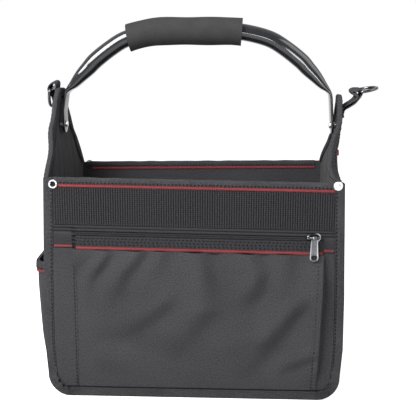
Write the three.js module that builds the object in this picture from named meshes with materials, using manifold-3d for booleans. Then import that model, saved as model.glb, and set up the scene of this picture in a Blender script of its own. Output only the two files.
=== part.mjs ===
// An open tool bag: padded cloth panels bound with tape, a zipped front pocket and a swinging tube handle.
import * as THREE from "three";
import { mergeVertices } from "three/addons/utils/BufferGeometryUtils.js";
import Module from "manifold-3d";

// Driving dimensions in millimetres. The origin is the middle of the base, +X the right end and +Y the back.
const DEPTH = 190; // between the outer faces of the front and back panels
const RIM = 246; // edge of the front and back panels
const PEAK = { left: 340.7, right: 334.2 }; // edge of the end panels' peaks
const PEAK_HALF = 16.4; // where a peak's slope would meet its flat top, from the middle
const PEAK_ROUND = 18; // radius between a peak's slope and its top
const CORNER = 24; // radius of the body's lower corners, seen from the front
const CLOTH = 2; // padded cloth
const SHEET = 1.5; // pocket cloth and webbing
const TAPE = 1.2; // binding tape and braid
const GAP = 0.3; // between pieces that touch
const SOFT_GAP = 0.6; // between a peak and what follows its dents
const FRONT_LEG = 9; // binding tape on the front and back faces
const SIDE_LEG = 11; // binding tape on the ends, the base and the peaks
const BRAID = 3.2; // height of the red braid

const FACE = DEPTH / 2; // outer face of the front and back panels
const SEAM = FACE - CLOTH - GAP; // half depth of the end and base panels
const LIFT = TAPE + GAP; // the seams stand on the tape
const FLOOR_CURVE = LIFT + CORNER; // height where the ends begin to curve under

// Half width of the body at a height, to the outer faces of the end panels.
const HALF_WIDTH = [
  { z: 0, half: 161 },
  { z: 26, half: 161.3 },
  { z: 60, half: 163.6 },
  { z: 120, half: 163 },
  { z: 190, half: 161 },
  { z: 246, half: 159.3 },
  { z: 275, half: 160.5 },
  { z: 300, half: 161.5 },
  { z: 350, half: 161.5 },
];

// Dents of the end panels, and where their peaks lean out: centre, reach and depth.
const DENTS = {
  left: [{ y: -74, z: 270, reachY: 30, reachZ: 15, depth: 1.7 }],
  right: [{ y: -78, z: 284.3, reachY: 29.8, reachZ: 30.1, depth: 11.6 }],
};
const LEANS = {
  left: [
    { y: 62, z: 320, reachY: 45, reachZ: 40, depth: 3.2 },
    { y: 0, z: 300, reachY: 30, reachZ: 26, depth: 4 },
  ],
  right: [
    { y: 62, z: 316, reachY: 69.1, reachZ: 59.9, depth: 7.5 },
    { y: 0, z: 335, reachY: 34, reachZ: 24, depth: 1.1 },
  ],
};
const LEAN_RISE = 32; // height above the rim where a peak leans out in full

// How far the pocket stands off the front panel at a height, between its pleats.
const POCKET_STAND = [
  { z: 10, stand: 0.2 },
  { z: 28, stand: 3.6 },
  { z: 80, stand: 6.2 },
  { z: 130, stand: 6.4 },
  { z: 169, stand: 4.4 },
  { z: 184, stand: 2.6 },
  { z: 196, stand: 0.2 },
];
const PLEATS = [
  { outer: -133.5, inner: -130.5 },
  { outer: 140.2, inner: 137.2 },
];

// Folds of the pocket cloth: each runs from one point of the front face to another.
const FOLDS = [
  { x0: -88, z0: 166, x1: -114, z1: 120, reach: 9, depth: 2.6 },
  { x0: -48, z0: 168, x1: -80, z1: 122, reach: 10, depth: 2.2 },
  { x0: -22, z0: 112, x1: -66, z1: 81, reach: 10, depth: 1.6 },
  { x0: 14, z0: 164, x1: 22, z1: 118, reach: 11, depth: 2 },
  { x0: 74, z0: 148, x1: 56, z1: 104, reach: 13, depth: 2.2 },
  { x0: 126, z0: 118, x1: 66, z1: 42, reach: 13, depth: 3 },
];

// Heights of what is sewn to the front face, from the rim down.
const BAND_FOOT = 239.8;
const BRAID_FOOT = BAND_FOOT - GAP - BRAID;
const WEBBING = { top: BRAID_FOOT - GAP, foot: 195.5 };
const ZIP_UPPER = { top: WEBBING.foot - GAP, foot: 188.4 };
const ZIP_COIL = { top: ZIP_UPPER.foot - GAP, foot: 184.4, left: -129.5, right: 121.4 };
const ZIP_LOWER = { top: ZIP_COIL.foot - GAP, foot: 172.7 };
const POCKET_BRAID = { top: ZIP_LOWER.foot - GAP, foot: ZIP_LOWER.foot - GAP - BRAID };
const POCKET = { top: POCKET_BRAID.foot - GAP, foot: 12.6 };
const ZIP_TAPE = 1;
const COIL = 2;

// The zip's slider and its hanging pull.
const SLIDER = { x: 129.2, z: 187, length: 14.6, height: 9.6, thick: 2.6, nose: 2.6, waist: 2.2 };
const CROWN = { radius: 1.1, half: 5.2, rise: 3, post: 2 };
const PULL = {
  length: 25.4,
  wide: 9,
  narrow: 7,
  thick: 1.3,
  window: 2.8,
  eye: 1.5,
  eyeWall: 0.9,
  eyeWidth: 4,
};

// Rivets of the rim corners.
const RIVET = { left: -150, right: 153.4, z: 241.5, head: 5, dome: 2.4, shaft: 1.6 };
const CLINCH = { radius: 2.6, thick: 0.6 };

// The handle: half of its centre line, from the middle to the tab, with the tube's thickness in its plane
// and its width across.
const TUBE = 19;
const TUBE_WALL = 1.2;
const HANDLE = [
  { x: 0, z: 407.4, thick: TUBE, wide: TUBE },
  { x: 40, z: 407.2, thick: TUBE, wide: TUBE },
  { x: 61, z: 404.7, thick: TUBE, wide: TUBE },
  { x: 84, z: 398.2, thick: TUBE, wide: TUBE },
  { x: 101, z: 388.3, thick: TUBE, wide: TUBE },
  { x: 119, z: 374.6, thick: TUBE, wide: TUBE },
  { x: 128, z: 365.4, thick: 17.8, wide: 19 },
  { x: 137, z: 356.2, thick: 14.8, wide: 19.2 },
  { x: 145, z: 347, thick: 10.3, wide: 19.5 },
  { x: 150.8, z: 341.2, thick: 5.8, wide: 19.8 },
  { x: 154.2, z: 336.6, thick: 3.3, wide: 20 },
  { x: 155.4, z: 331, thick: 2.8, wide: 20 },
];
const TAB = { x: 157.6, lean: 0.07, thick: 2.8, wide: 20, roundTo: 1.45 };
const PIVOT = { z: 300, shaft: 3, hole: 3.3, head: 3.9, dome: 1.7, spacer: 4, washer: 8, washerThick: 1.2 };
const GRIP = { left: -80.6, right: 51, radius: 15.75, bore: TUBE / 2 + SOFT_GAP, round: 2.5, lean: 0.55 };

// The webbing loops that carry the D-rings, as distances from the middle plane and heights.
const STRAP_WIDTH = 23;
const STRAP_SEAM = 317;
const STRAP_TURN = 16; // height above the seam where a loop has turned with its ring
const STRAP = {
  left: [
    { x: 168.7, z: 309 },
    { x: 168.1, z: 317 },
    { x: 168.6, z: 324 },
    { x: 169.4, z: 331 },
    { x: 171.6, z: 336.4 },
    { x: 174.1, z: 339.8 },
    { x: 174.4, z: 343 },
    { x: 172.6, z: 346.6 },
    { x: 169.4, z: 349 },
    { x: 166.4, z: 348.8 },
    { x: 165.2, z: 346.2 },
    { x: 165.5, z: 342.6 },
    { x: 166, z: 336 },
    { x: 166.4, z: 327 },
    { x: 166.3, z: 317 },
    { x: 166.9, z: 309 },
  ],
  right: [
    { x: 169.4, z: 309 },
    { x: 169.4, z: 314.5 },
    { x: 171.2, z: 318.6 },
    { x: 176.5, z: 322 },
    { x: 182.2, z: 326.2 },
    { x: 186.6, z: 331.6 },
    { x: 189.5, z: 336.2 },
    { x: 190.2, z: 339.8 },
    { x: 188.7, z: 342.3 },
    { x: 186, z: 342.5 },
    { x: 182.4, z: 342.4 },
    { x: 179, z: 341 },
    { x: 178.4, z: 338.4 },
    { x: 181, z: 336.2 },
    { x: 183.8, z: 334.6 },
    { x: 183.4, z: 331.8 },
    { x: 179.4, z: 328.2 },
    { x: 171.2, z: 323 },
    { x: 167.7, z: 317 },
    { x: 167.6, z: 309 },
  ],
};

// The D-rings: where each bar lies in its loop, the ring's angle up from the outward way and its bar's tilt.
const RING = { wire: 1.75, half: 15.25, leg: 6, corner: 3.2 };
const RING_BAR = {
  left: { x: 171.5, z: 342, angle: -84, tilt: 8 },
  right: { x: 187.4, z: 339.7, angle: 11, tilt: 5 },
};

// The boxy pocket on the left end: how far its middle stands out at a height.
const SIDE_POCKET = { half: 71, fullness: 20, tilt: 0.1, band: 8.7 };
const SIDE_BULGE = [
  { z: 27, bulge: 0.2 },
  { z: 34, bulge: 7 },
  { z: 44, bulge: 10.6 },
  { z: 58, bulge: 11.6 },
  { z: 73, bulge: 12.7 },
  { z: 102, bulge: 14.5 },
  { z: 131, bulge: 16.1 },
  { z: 155, bulge: 16.4 },
];
const POCKET_COLUMNS = [-1, -0.99, -0.97, -0.94, -0.88, -0.7, 0, 0.7, 0.88, 0.94, 0.97, 0.99, 1];
const SIDE_TRIM = { foot: 270.4, inset: 4 };

const SIDES = [
  { name: "left", sign: -1 },
  { name: "right", sign: 1 },
];
const ENDS = [
  { name: "front", sign: -1 },
  { name: "back", sign: 1 },
];

const material = (color, roughness, metalness = 0) =>
  new THREE.MeshStandardMaterial({ color, roughness, metalness });
const CLOTH_GREY = material(0x49494b, 0.9);
const TAPE_GREY = material(0x434345, 0.85);
const WEBBING_BLACK = material(0x3a3a3c, 0.85);
const BRAID_RED = material(0xb64a4c, 0.8);
const ZIP_GREY = material(0x6b6e70, 0.4, 0.7);
const STEEL = material(0xd2d2d4, 0.2, 1);
const BLACK_PAINT = material(0x17181b, 0.15, 0.3);
const FOAM = material(0x444445, 0.95);

const bag = new THREE.Group();

// Table readings

// A column of a table at a value of another column, straight between its rows.
function read(table, by, column, at) {
  const next = table.findIndex((row) => row[by] >= at);
  if (next === 0) return table[0][column];
  if (next < 0) return table.at(-1)[column];
  const [a, b] = [table[next - 1], table[next]];
  return THREE.MathUtils.mapLinear(at, a[by], b[by], a[column], b[column]);
}

// The rows of a table with more rows between them, each column on a Catmull-Rom curve.
function smooth(rows, steps) {
  const columns = Object.keys(rows[0]);
  const line = [];
  for (let i = 0; i < rows.length - 1; i++) {
    const near = [i - 1, i, i + 1, i + 2].map((k) => rows[THREE.MathUtils.clamp(k, 0, rows.length - 1)]);
    for (let step = 0; step < steps; step++) {
      const t = step / steps;
      const blend = (c) => {
        const [a, b, d, e] = near.map((row) => row[c]);
        const bend = 2 * a - 5 * b + 4 * d - e + (3 * b - a - 3 * d + e) * t;
        return b + (t / 2) * (d - a + t * bend);
      };
      line.push(Object.fromEntries(columns.map((c) => [c, blend(c)])));
    }
  }
  return [...line, rows.at(-1)];
}

// Evenly spaced values from one end to the other.
function spread(from, to, count) {
  return Array.from({ length: count }, (_, i) => THREE.MathUtils.lerp(from, to, i / (count - 1)));
}

// Solids

// A geometry with shared corners only, its faces turned outwards.
function facingOut(geometry) {
  const bare = new THREE.BufferGeometry();
  bare.setAttribute("position", geometry.getAttribute("position"));
  bare.setIndex(geometry.index);
  const merged = mergeVertices(bare, 1e-4);
  const corner = (i) => new THREE.Vector3().fromBufferAttribute(merged.getAttribute("position"), i);
  const index = merged.index.array;
  let volume = 0;
  for (let i = 0; i < index.length; i += 3) {
    const [a, b, c] = [corner(index[i]), corner(index[i + 1]), corner(index[i + 2])];
    volume += a.dot(b.cross(c));
  }
  if (volume < 0) index.reverse();
  return merged;
}

// A geometry from points and triangles.
function meshOf(points, triangles) {
  const geometry = new THREE.BufferGeometry().setFromPoints(points);
  geometry.setIndex(triangles);
  return geometry;
}

// A cloth wall: points[row][column] is its outer face, and its inner face lies a thickness behind it.
function wall(points, thickness) {
  const rows = points.length;
  const columns = points[0].length;
  const at = (i, j) =>
    points[THREE.MathUtils.clamp(i, 0, rows - 1)][THREE.MathUtils.clamp(j, 0, columns - 1)];
  const behind = (point, i, j) => {
    const up = at(i + 1, j).clone().sub(at(i - 1, j));
    const across = at(i, j + 1).clone().sub(at(i, j - 1));
    return point.clone().addScaledVector(up.cross(across).normalize(), -thickness);
  };
  const inner = points.map((line, i) => line.map((point, j) => behind(point, i, j)));
  const outerId = (i, j) => i * columns + j;
  const innerId = (i, j) => (rows + i) * columns + j;
  const triangles = [];
  const quad = (a, b, c, d) => triangles.push(a, b, c, a, c, d);
  const edge = ([i, j], [k, l]) => quad(outerId(i, j), innerId(i, j), innerId(k, l), outerId(k, l));
  for (let i = 0; i < rows - 1; i++) {
    for (let j = 0; j < columns - 1; j++) {
      quad(outerId(i, j), outerId(i + 1, j), outerId(i + 1, j + 1), outerId(i, j + 1));
      quad(innerId(i, j), innerId(i, j + 1), innerId(i + 1, j + 1), innerId(i + 1, j));
    }
    edge([i, 0], [i + 1, 0]);
    edge([i + 1, columns - 1], [i, columns - 1]);
  }
  for (let j = 0; j < columns - 1; j++) {
    edge([0, j + 1], [0, j]);
    edge([rows - 1, j], [rows - 1, j + 1]);
  }
  return meshOf([...points.flat(), ...inner.flat()], triangles);
}

// A solid through rings of points. Its ends are closed with the ring's flat outline.
// Without an outline, the last ring meets the first.
function loft(rings, outline) {
  const count = rings[0].length;
  const id = (k, m) => (k % rings.length) * count + (m % count);
  const triangles = [];
  const spans = outline ? rings.length - 1 : rings.length;
  for (let k = 0; k < spans; k++) {
    for (let m = 0; m < count; m++) {
      triangles.push(id(k, m), id(k, m + 1), id(k + 1, m + 1));
      triangles.push(id(k, m), id(k + 1, m + 1), id(k + 1, m));
    }
  }
  if (outline) {
    const turn = Math.sign(THREE.ShapeUtils.area(outline));
    for (const face of THREE.ShapeUtils.triangulateShape(outline, [])) {
      const same = Math.sign(THREE.ShapeUtils.area(face.map((i) => outline[i]))) === turn;
      const [a, b, c] = same ? face : [...face].reverse();
      triangles.push(id(0, a), id(0, c), id(0, b));
      triangles.push(id(rings.length - 1, a), id(rings.length - 1, b), id(rings.length - 1, c));
    }
  }
  return meshOf(rings.flat(), triangles);
}

// A flat shape of the front view, given a thickness forwards from a depth.
function upright(shape, thickness, backY) {
  const options = { depth: thickness, bevelEnabled: false, curveSegments: 6 };
  const geometry = new THREE.ExtrudeGeometry(shape, options);
  return geometry.rotateX(Math.PI / 2).translate(0, backY, 0);
}

const wasm = await Module();
wasm.setup();

function solidOf(geometry) {
  const merged = facingOut(geometry);
  return new wasm.Manifold(
    new wasm.Mesh({
      numProp: 3,
      vertProperties: merged.getAttribute("position").array,
      triVerts: new Uint32Array(merged.index.array),
    }),
  );
}

function geometryOf(solid) {
  const mesh = solid.getMesh();
  const geometry = new THREE.BufferGeometry();
  geometry.setAttribute("position", new THREE.BufferAttribute(mesh.vertProperties, 3));
  geometry.setIndex(new THREE.BufferAttribute(mesh.triVerts, 1));
  return geometry;
}

const cut = (geometry, tools) =>
  geometryOf(tools.reduce((rest, tool) => rest.subtract(solidOf(tool)), solidOf(geometry)));
const join = (geometries) => geometryOf(geometries.map(solidOf).reduce((whole, part) => whole.add(part)));

// Adds a named piece to the bag.
function piece(name, geometry, look) {
  const mesh = new THREE.Mesh(facingOut(geometry), look);
  mesh.name = name;
  bag.add(mesh);
}

// Body

const halfWidth = (z) => read(HALF_WIDTH, "z", "half", z);
const RISE = HALF_WIDTH.map((row) => row.z).filter((z) => z > FLOOR_CURVE + CORNER && z <= RIM);

// Half depth of an end panel at a height: upright to the rim, then the peak's slope and its round top.
function peakForm(side) {
  const top = PEAK[side.name];
  const run = (SEAM - PEAK_HALF) / (top - RIM);
  const turn = Math.atan2(1, run);
  const roundLength = PEAK_ROUND * Math.tan(turn / 2);
  return { top, run, turn, roundFoot: top - roundLength * Math.sin(turn), topHalf: PEAK_HALF - roundLength };
}
function halfDepth(side, z) {
  const { top, run, roundFoot, topHalf } = peakForm(side);
  if (z <= RIM) return SEAM;
  if (z <= roundFoot) return SEAM - (z - RIM) * run;
  return topHalf + Math.sqrt(Math.max(0, PEAK_ROUND ** 2 - (z - top + PEAK_ROUND) ** 2));
}

// Distance from the middle plane to an end panel's outer face.
function endFace(side, y, z) {
  const total = (table) =>
    table[side.name]
      .map((d) => d.depth * Math.exp(-(((y - d.y) / d.reachY) ** 2) - ((z - d.z) / d.reachZ) ** 2))
      .reduce((sum, depth) => sum + depth, 0);
  return halfWidth(z) - total(DENTS) + THREE.MathUtils.smoothstep(z, RIM, RIM + LEAN_RISE) * total(LEANS);
}

// A front or back panel: the body's outline seen from the front.
function panelShape() {
  const rise = [...RISE];
  const floorHalf = halfWidth(FLOOR_CURVE) - CORNER;
  const shape = new THREE.Shape();
  shape.moveTo(-floorHalf, LIFT);
  shape.lineTo(floorHalf, LIFT);
  shape.absarc(floorHalf, FLOOR_CURVE, CORNER, -Math.PI / 2, 0, false);
  rise.forEach((z) => shape.lineTo(halfWidth(z), z));
  rise.reverse().forEach((z) => shape.lineTo(-halfWidth(z), z));
  shape.absarc(-floorHalf, FLOOR_CURVE, CORNER, Math.PI, 1.5 * Math.PI, false);
  return shape;
}

// Holes for the rivets of the rim corners.
function rivetHoles(end) {
  return SIDES.map((side) => {
    const hole = new THREE.CylinderGeometry(RIVET.shaft + GAP, RIVET.shaft + GAP, DEPTH / 4, 12);
    return hole.translate(RIVET[side.name], end.sign * FACE, RIVET.z);
  });
}

for (const end of ENDS) {
  const back = end.sign < 0 ? -FACE + CLOTH : FACE;
  piece(`${end.name}_panel`, cut(upright(panelShape(), CLOTH, back), rivetHoles(end)), CLOTH_GREY);
}

// An end panel: a grid that curves under to a short toe at the foot and narrows along the peak.
const TOE = 2;
const DENT_REACH = 8; // how far below the rim a peak's dents still show
const COLUMNS = [-1, -0.9, -0.78, -0.62, -0.4, 0, 0.4, 0.68, 0.86, 1];
function endPanel(side) {
  const floorHalf = halfWidth(FLOOR_CURVE) - CORNER;
  const curve = spread(0, Math.PI / 2, 5).map((angle) => ({
    x: () => floorHalf + CORNER * Math.sin(angle),
    z: LIFT + CORNER * (1 - Math.cos(angle)),
  }));
  const foot = [{ x: () => floorHalf - TOE, z: LIFT }, ...curve];
  const { top, roundFoot } = peakForm(side);
  const heights = [
    ...RISE.slice(0, -1),
    RIM - DENT_REACH,
    ...spread(RIM, roundFoot, 11),
    ...spread(roundFoot, top, 4).slice(1),
  ];
  const rise = heights.map((z) => ({ x: (y) => endFace(side, y, z), z }));
  const points = [...foot, ...rise].map((row) =>
    COLUMNS.map((share) => {
      const y = -side.sign * share * halfDepth(side, row.z);
      return new THREE.Vector3(side.sign * row.x(y), y, row.z);
    }),
  );
  const pivotHole = new THREE.CylinderGeometry(PIVOT.hole, PIVOT.hole, DEPTH / 4, 16);
  pivotHole.rotateZ(Math.PI / 2).translate(side.sign * halfWidth(PIVOT.z), 0, PIVOT.z);
  return cut(wall(points, CLOTH), [pivotHole]);
}
SIDES.forEach((side) => piece(`side_panel_${side.name}`, endPanel(side), CLOTH_GREY));

// The base: flat on the floor, its edges lifted on to the binding tape.
{
  const half = halfWidth(FLOOR_CURVE) - CORNER - TOE - GAP;
  const slope = 3.5;
  const flatY = FACE - SIDE_LEG - slope;
  const flatX = half - slope;
  const rows = [-SEAM, -flatY - slope, -flatY, flatY, flatY + slope, SEAM];
  const columns = [-half, -flatX, 0, flatX, half];
  const onFloor = (x, y) => Math.abs(x) <= flatX && Math.abs(y) <= flatY;
  const points = rows.map((y) => columns.map((x) => new THREE.Vector3(x, y, onFloor(x, y) ? 0 : LIFT)));
  piece("base_panel", wall(points, CLOTH), CLOTH_GREY);
}

// Binding tape

// The front view's edge from the left rim round the foot to the right rim, with its inward direction.
function panelEdge() {
  const floorHalf = halfWidth(FLOOR_CURVE) - CORNER;
  const right = [
    { x: 0, z: LIFT, inX: 0, inZ: 1 },
    ...spread(0, Math.PI / 2, 6).map((angle) => ({
      x: floorHalf + CORNER * Math.sin(angle),
      z: FLOOR_CURVE - CORNER * Math.cos(angle),
      inX: -Math.sin(angle),
      inZ: Math.cos(angle),
    })),
    ...RISE.map((z) => ({ x: halfWidth(z), z, inX: -1, inZ: 0 })),
  ];
  const left = right.slice(1).map((p) => ({ ...p, x: -p.x, inX: -p.inX }));
  return [...left.reverse(), ...right];
}

// Tape folded round a panel's edge: one leg on the face, one on the ends and the base.
for (const end of ENDS) {
  const outline = [
    new THREE.Vector2(FRONT_LEG, -LIFT),
    new THREE.Vector2(GAP - TAPE, -LIFT),
    new THREE.Vector2(-LIFT, GAP - TAPE),
    new THREE.Vector2(-LIFT, SIDE_LEG),
    new THREE.Vector2(-GAP, SIDE_LEG),
    new THREE.Vector2(-GAP, -GAP),
    new THREE.Vector2(FRONT_LEG, -GAP),
  ];
  const ring = (p) =>
    outline.map(
      (q) => new THREE.Vector3(p.x + q.x * p.inX, end.sign * (FACE - q.y), p.z + q.x * p.inZ),
    );
  const tape = loft(panelEdge().map(ring), outline);
  piece(`binding_${end.name}`, cut(tape, rivetHoles(end)), TAPE_GREY);
}

// The peak's edge from the front rim corner to the middle of its top, with its inward direction.
function peakEdge(side) {
  const { top, turn, roundFoot, topHalf } = peakForm(side);
  const turnOver = 18;
  const foot = RIM + GAP;
  const slope = [...spread(foot, foot + turnOver, 4), ...spread(foot + turnOver, roundFoot, 9).slice(1)];
  const rise = slope.map((z) => {
    const angle = turn + (Math.PI / 2 - turn) * Math.max(0, 1 - (z - foot) / turnOver);
    return { half: halfDepth(side, z), z, inHalf: -Math.sin(angle), inZ: -Math.cos(angle) };
  });
  const round = spread(turn, 0, 4).map((angle) => ({
    half: topHalf + PEAK_ROUND * Math.sin(angle),
    z: top - PEAK_ROUND * (1 - Math.cos(angle)),
    inHalf: -Math.sin(angle),
    inZ: -Math.cos(angle),
  }));
  return [...rise, ...round.slice(1)];
}

// Tape folded over a peak's free edge, a leg on each face. Its section runs inwards and across the cloth.
const PEAK_SECTION = [
  [SIDE_LEG, SOFT_GAP + TAPE],
  [0, SOFT_GAP + TAPE],
  [-SOFT_GAP - TAPE, (SOFT_GAP - CLOTH) / 2],
  [-SOFT_GAP - TAPE, (-SOFT_GAP - CLOTH) / 2],
  [0, -CLOTH - SOFT_GAP - TAPE],
  [SIDE_LEG, -CLOTH - SOFT_GAP - TAPE],
  [SIDE_LEG, -CLOTH - SOFT_GAP],
  [SIDE_LEG / 2, -CLOTH - SOFT_GAP],
  [-SOFT_GAP, -CLOTH - SOFT_GAP],
  [-SOFT_GAP, SOFT_GAP],
  [SIDE_LEG / 2, SOFT_GAP],
  [SIDE_LEG, SOFT_GAP],
].map(([inward, across]) => new THREE.Vector2(inward, across));
for (const side of SIDES) {
  const half = peakEdge(side);
  const path = [
    ...half.map((p) => ({ ...p, way: -1 })),
    ...[...half].reverse().map((p) => ({ ...p, way: 1 })),
  ];
  const ring = (p) =>
    PEAK_SECTION.map((q) => {
      const y = p.way * (p.half + q.x * p.inHalf);
      const z = p.z + q.x * p.inZ;
      return new THREE.Vector3(side.sign * (endFace(side, y, z) + q.y), y, z);
    });
  piece(`peak_binding_${side.name}`, loft(path.map(ring), PEAK_SECTION), TAPE_GREY);
}

// Rim

// Tape folded over a rim, and the red braid under both of its edges.
for (const end of ENDS) {
  const half = halfWidth(RIM) - FRONT_LEG - GAP;
  const bandTop = RIM + GAP + TAPE;
  const outside = FACE + GAP;
  const inside = FACE - CLOTH - GAP;
  const outline = [
    [outside, BAND_FOOT],
    [outside + TAPE, BAND_FOOT],
    [outside + TAPE, bandTop - TAPE],
    [outside, bandTop],
    [inside, bandTop],
    [inside - TAPE, bandTop - TAPE],
    [inside - TAPE, BAND_FOOT],
    [inside, BAND_FOOT],
    [inside, RIM + GAP],
    [outside, RIM + GAP],
  ].map(([y, z]) => new THREE.Vector2(y, z));
  const ring = (x) => outline.map((p) => new THREE.Vector3(x, end.sign * p.x, p.y));
  const band = loft([-half, half].map(ring), outline);
  piece(`rim_band_${end.name}`, cut(band, rivetHoles(end)), TAPE_GREY);
  for (const [face, y] of [
    ["outer", outside + TAPE / 2],
    ["inner", inside - TAPE / 2],
  ]) {
    const braid = new THREE.BoxGeometry(2 * half, TAPE, BRAID);
    braid.translate(0, end.sign * y, BRAID_FOOT + BRAID / 2);
    piece(`red_trim_${end.name}_${face}`, braid, BRAID_RED);
  }
  for (const side of SIDES) {
    const headY = FACE + LIFT + GAP;
    const clinchY = FACE - CLOTH - LIFT - GAP;
    const dome = spread(0, Math.PI / 2, 4).map(
      (a) => new THREE.Vector2(RIVET.head * Math.cos(a), headY + RIVET.dome * Math.sin(a)),
    );
    const profile = [
      new THREE.Vector2(0, clinchY - CLINCH.thick),
      new THREE.Vector2(CLINCH.radius, clinchY - CLINCH.thick),
      new THREE.Vector2(CLINCH.radius, clinchY),
      new THREE.Vector2(RIVET.shaft, clinchY),
      new THREE.Vector2(RIVET.shaft, headY),
      ...dome.slice(0, -1),
      new THREE.Vector2(0, headY + RIVET.dome),
    ];
    const rivet = new THREE.LatheGeometry(profile, 10);
    if (end.sign < 0) rivet.rotateX(Math.PI);
    rivet.translate(RIVET[side.name], 0, RIVET.z);
    piece(`rivet_${end.name}_${side.name}`, rivet, STEEL);
  }
}

// Front face

// Half width of the front face between the binding tape's edges at a height.
function faceHalf(z) {
  const inner = CORNER - FRONT_LEG;
  const below = FLOOR_CURVE - z;
  if (below <= 0) return halfWidth(z) - FRONT_LEG - GAP;
  return halfWidth(FLOOR_CURVE) - CORNER + Math.sqrt(Math.max(0, inner ** 2 - below ** 2)) - SOFT_GAP;
}

// Stand-off of a sheet from the front panel: flat beside the pleats, full between them, with its folds.
function stand(x, z) {
  const between = PLEATS.map((p) => THREE.MathUtils.clamp((x - p.outer) / (p.inner - p.outer), 0, 1));
  return between[0] * between[1] * read(POCKET_STAND, "z", "stand", z);
}
function foldDepth(x, z) {
  const depths = FOLDS.map((f) => {
    const line = new THREE.Line3(new THREE.Vector3(f.x0, f.z0, 0), new THREE.Vector3(f.x1, f.z1, 0));
    const point = new THREE.Vector3(x, z, 0);
    const far = line.closestPointToPoint(point, true, new THREE.Vector3()).distanceTo(point);
    return f.depth * Math.exp(-((far / f.reach) ** 2));
  });
  return depths.reduce((sum, depth) => sum + depth, 0);
}

// A sheet on the front face, from rows of heights and the places across that its shape needs.
function faceSheet(heights, across, thickness, fold = () => 0) {
  const points = heights.map((z) =>
    across(z).map((x) => {
      const out = GAP + thickness + Math.max(0, stand(x, z) - fold(x, z));
      return new THREE.Vector3(x, -FACE - out, z);
    }),
  );
  return wall(points, thickness);
}
const pleatPlaces = PLEATS.flatMap((p) => [p.outer, p.inner]).sort((a, b) => a - b);
const acrossAll = (z) => [faceHalf(z), ...[...pleatPlaces].reverse(), -faceHalf(z)];
const acrossPocket = (z) => [
  faceHalf(z),
  ...[...pleatPlaces.slice(2)].reverse(),
  ...spread(pleatPlaces[2], pleatPlaces[1], 15).slice(1, -1),
  ...[...pleatPlaces.slice(0, 2)].reverse(),
  -faceHalf(z),
];
const fromTop = (strip) => [strip.foot, strip.top];

{
  const half = faceHalf(WEBBING.top) - GAP;
  const webbing = new THREE.BoxGeometry(2 * half, SHEET, WEBBING.top - WEBBING.foot);
  webbing.translate(0, -FACE - GAP - SHEET / 2, (WEBBING.top + WEBBING.foot) / 2);
  piece("tool_webbing", webbing, WEBBING_BLACK);
}
const coilPlaces = () => spread(ZIP_COIL.right, ZIP_COIL.left, 3);
piece("zip_tape_upper", faceSheet(fromTop(ZIP_UPPER), acrossAll, ZIP_TAPE), WEBBING_BLACK);
piece("zip_coil", faceSheet(fromTop(ZIP_COIL), coilPlaces, COIL), WEBBING_BLACK);
piece("zip_tape_lower", faceSheet(fromTop(ZIP_LOWER), acrossAll, ZIP_TAPE), WEBBING_BLACK);
piece("red_trim_pocket", faceSheet(fromTop(POCKET_BRAID), acrossAll, TAPE), BRAID_RED);
const pocketHeights = [
  ...spread(POCKET.foot, FLOOR_CURVE, 3),
  ...spread(FLOOR_CURVE, POCKET.top, 10).slice(1),
];
piece("pocket_front", faceSheet(pocketHeights, acrossPocket, SHEET, foldDepth), CLOTH_GREY);

// Zip slider and pull

// The slider rides over both tapes. Its crown is a bar along the zip, held off the body on two posts.
const sliderFoot = SLIDER.z - SLIDER.height / 2;
const sliderBack = -FACE - GAP - ZIP_TAPE - stand(SLIDER.x, sliderFoot) - GAP;
const crownY = sliderBack - SLIDER.thick - CROWN.rise;
{
  const shape = new THREE.Shape();
  const [l, h] = [SLIDER.length / 2, SLIDER.height / 2];
  const { nose, waist } = SLIDER;
  shape.moveTo(SLIDER.x - l, SLIDER.z - nose);
  shape.lineTo(SLIDER.x - waist, SLIDER.z - nose);
  shape.lineTo(SLIDER.x + waist, SLIDER.z - h);
  shape.lineTo(SLIDER.x + l, SLIDER.z - nose);
  shape.lineTo(SLIDER.x + l, SLIDER.z + nose);
  shape.lineTo(SLIDER.x + waist, SLIDER.z + h);
  shape.lineTo(SLIDER.x - waist, SLIDER.z + nose);
  shape.lineTo(SLIDER.x - l, SLIDER.z + nose);
  const bar = new THREE.CylinderGeometry(CROWN.radius, CROWN.radius, 2 * CROWN.half + CROWN.post, 12);
  bar.rotateZ(Math.PI / 2).translate(SLIDER.x, crownY, SLIDER.z);
  const posts = [-1, 1].map((way) => {
    const post = new THREE.BoxGeometry(CROWN.post, CROWN.rise + CROWN.radius, 2 * CROWN.radius);
    return post.translate(SLIDER.x + way * CROWN.half, crownY + (CROWN.rise + CROWN.radius) / 2, SLIDER.z);
  });
  piece("zip_slider", join([upright(shape, SLIDER.thick, sliderBack), bar, ...posts]), ZIP_GREY);
}

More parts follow.
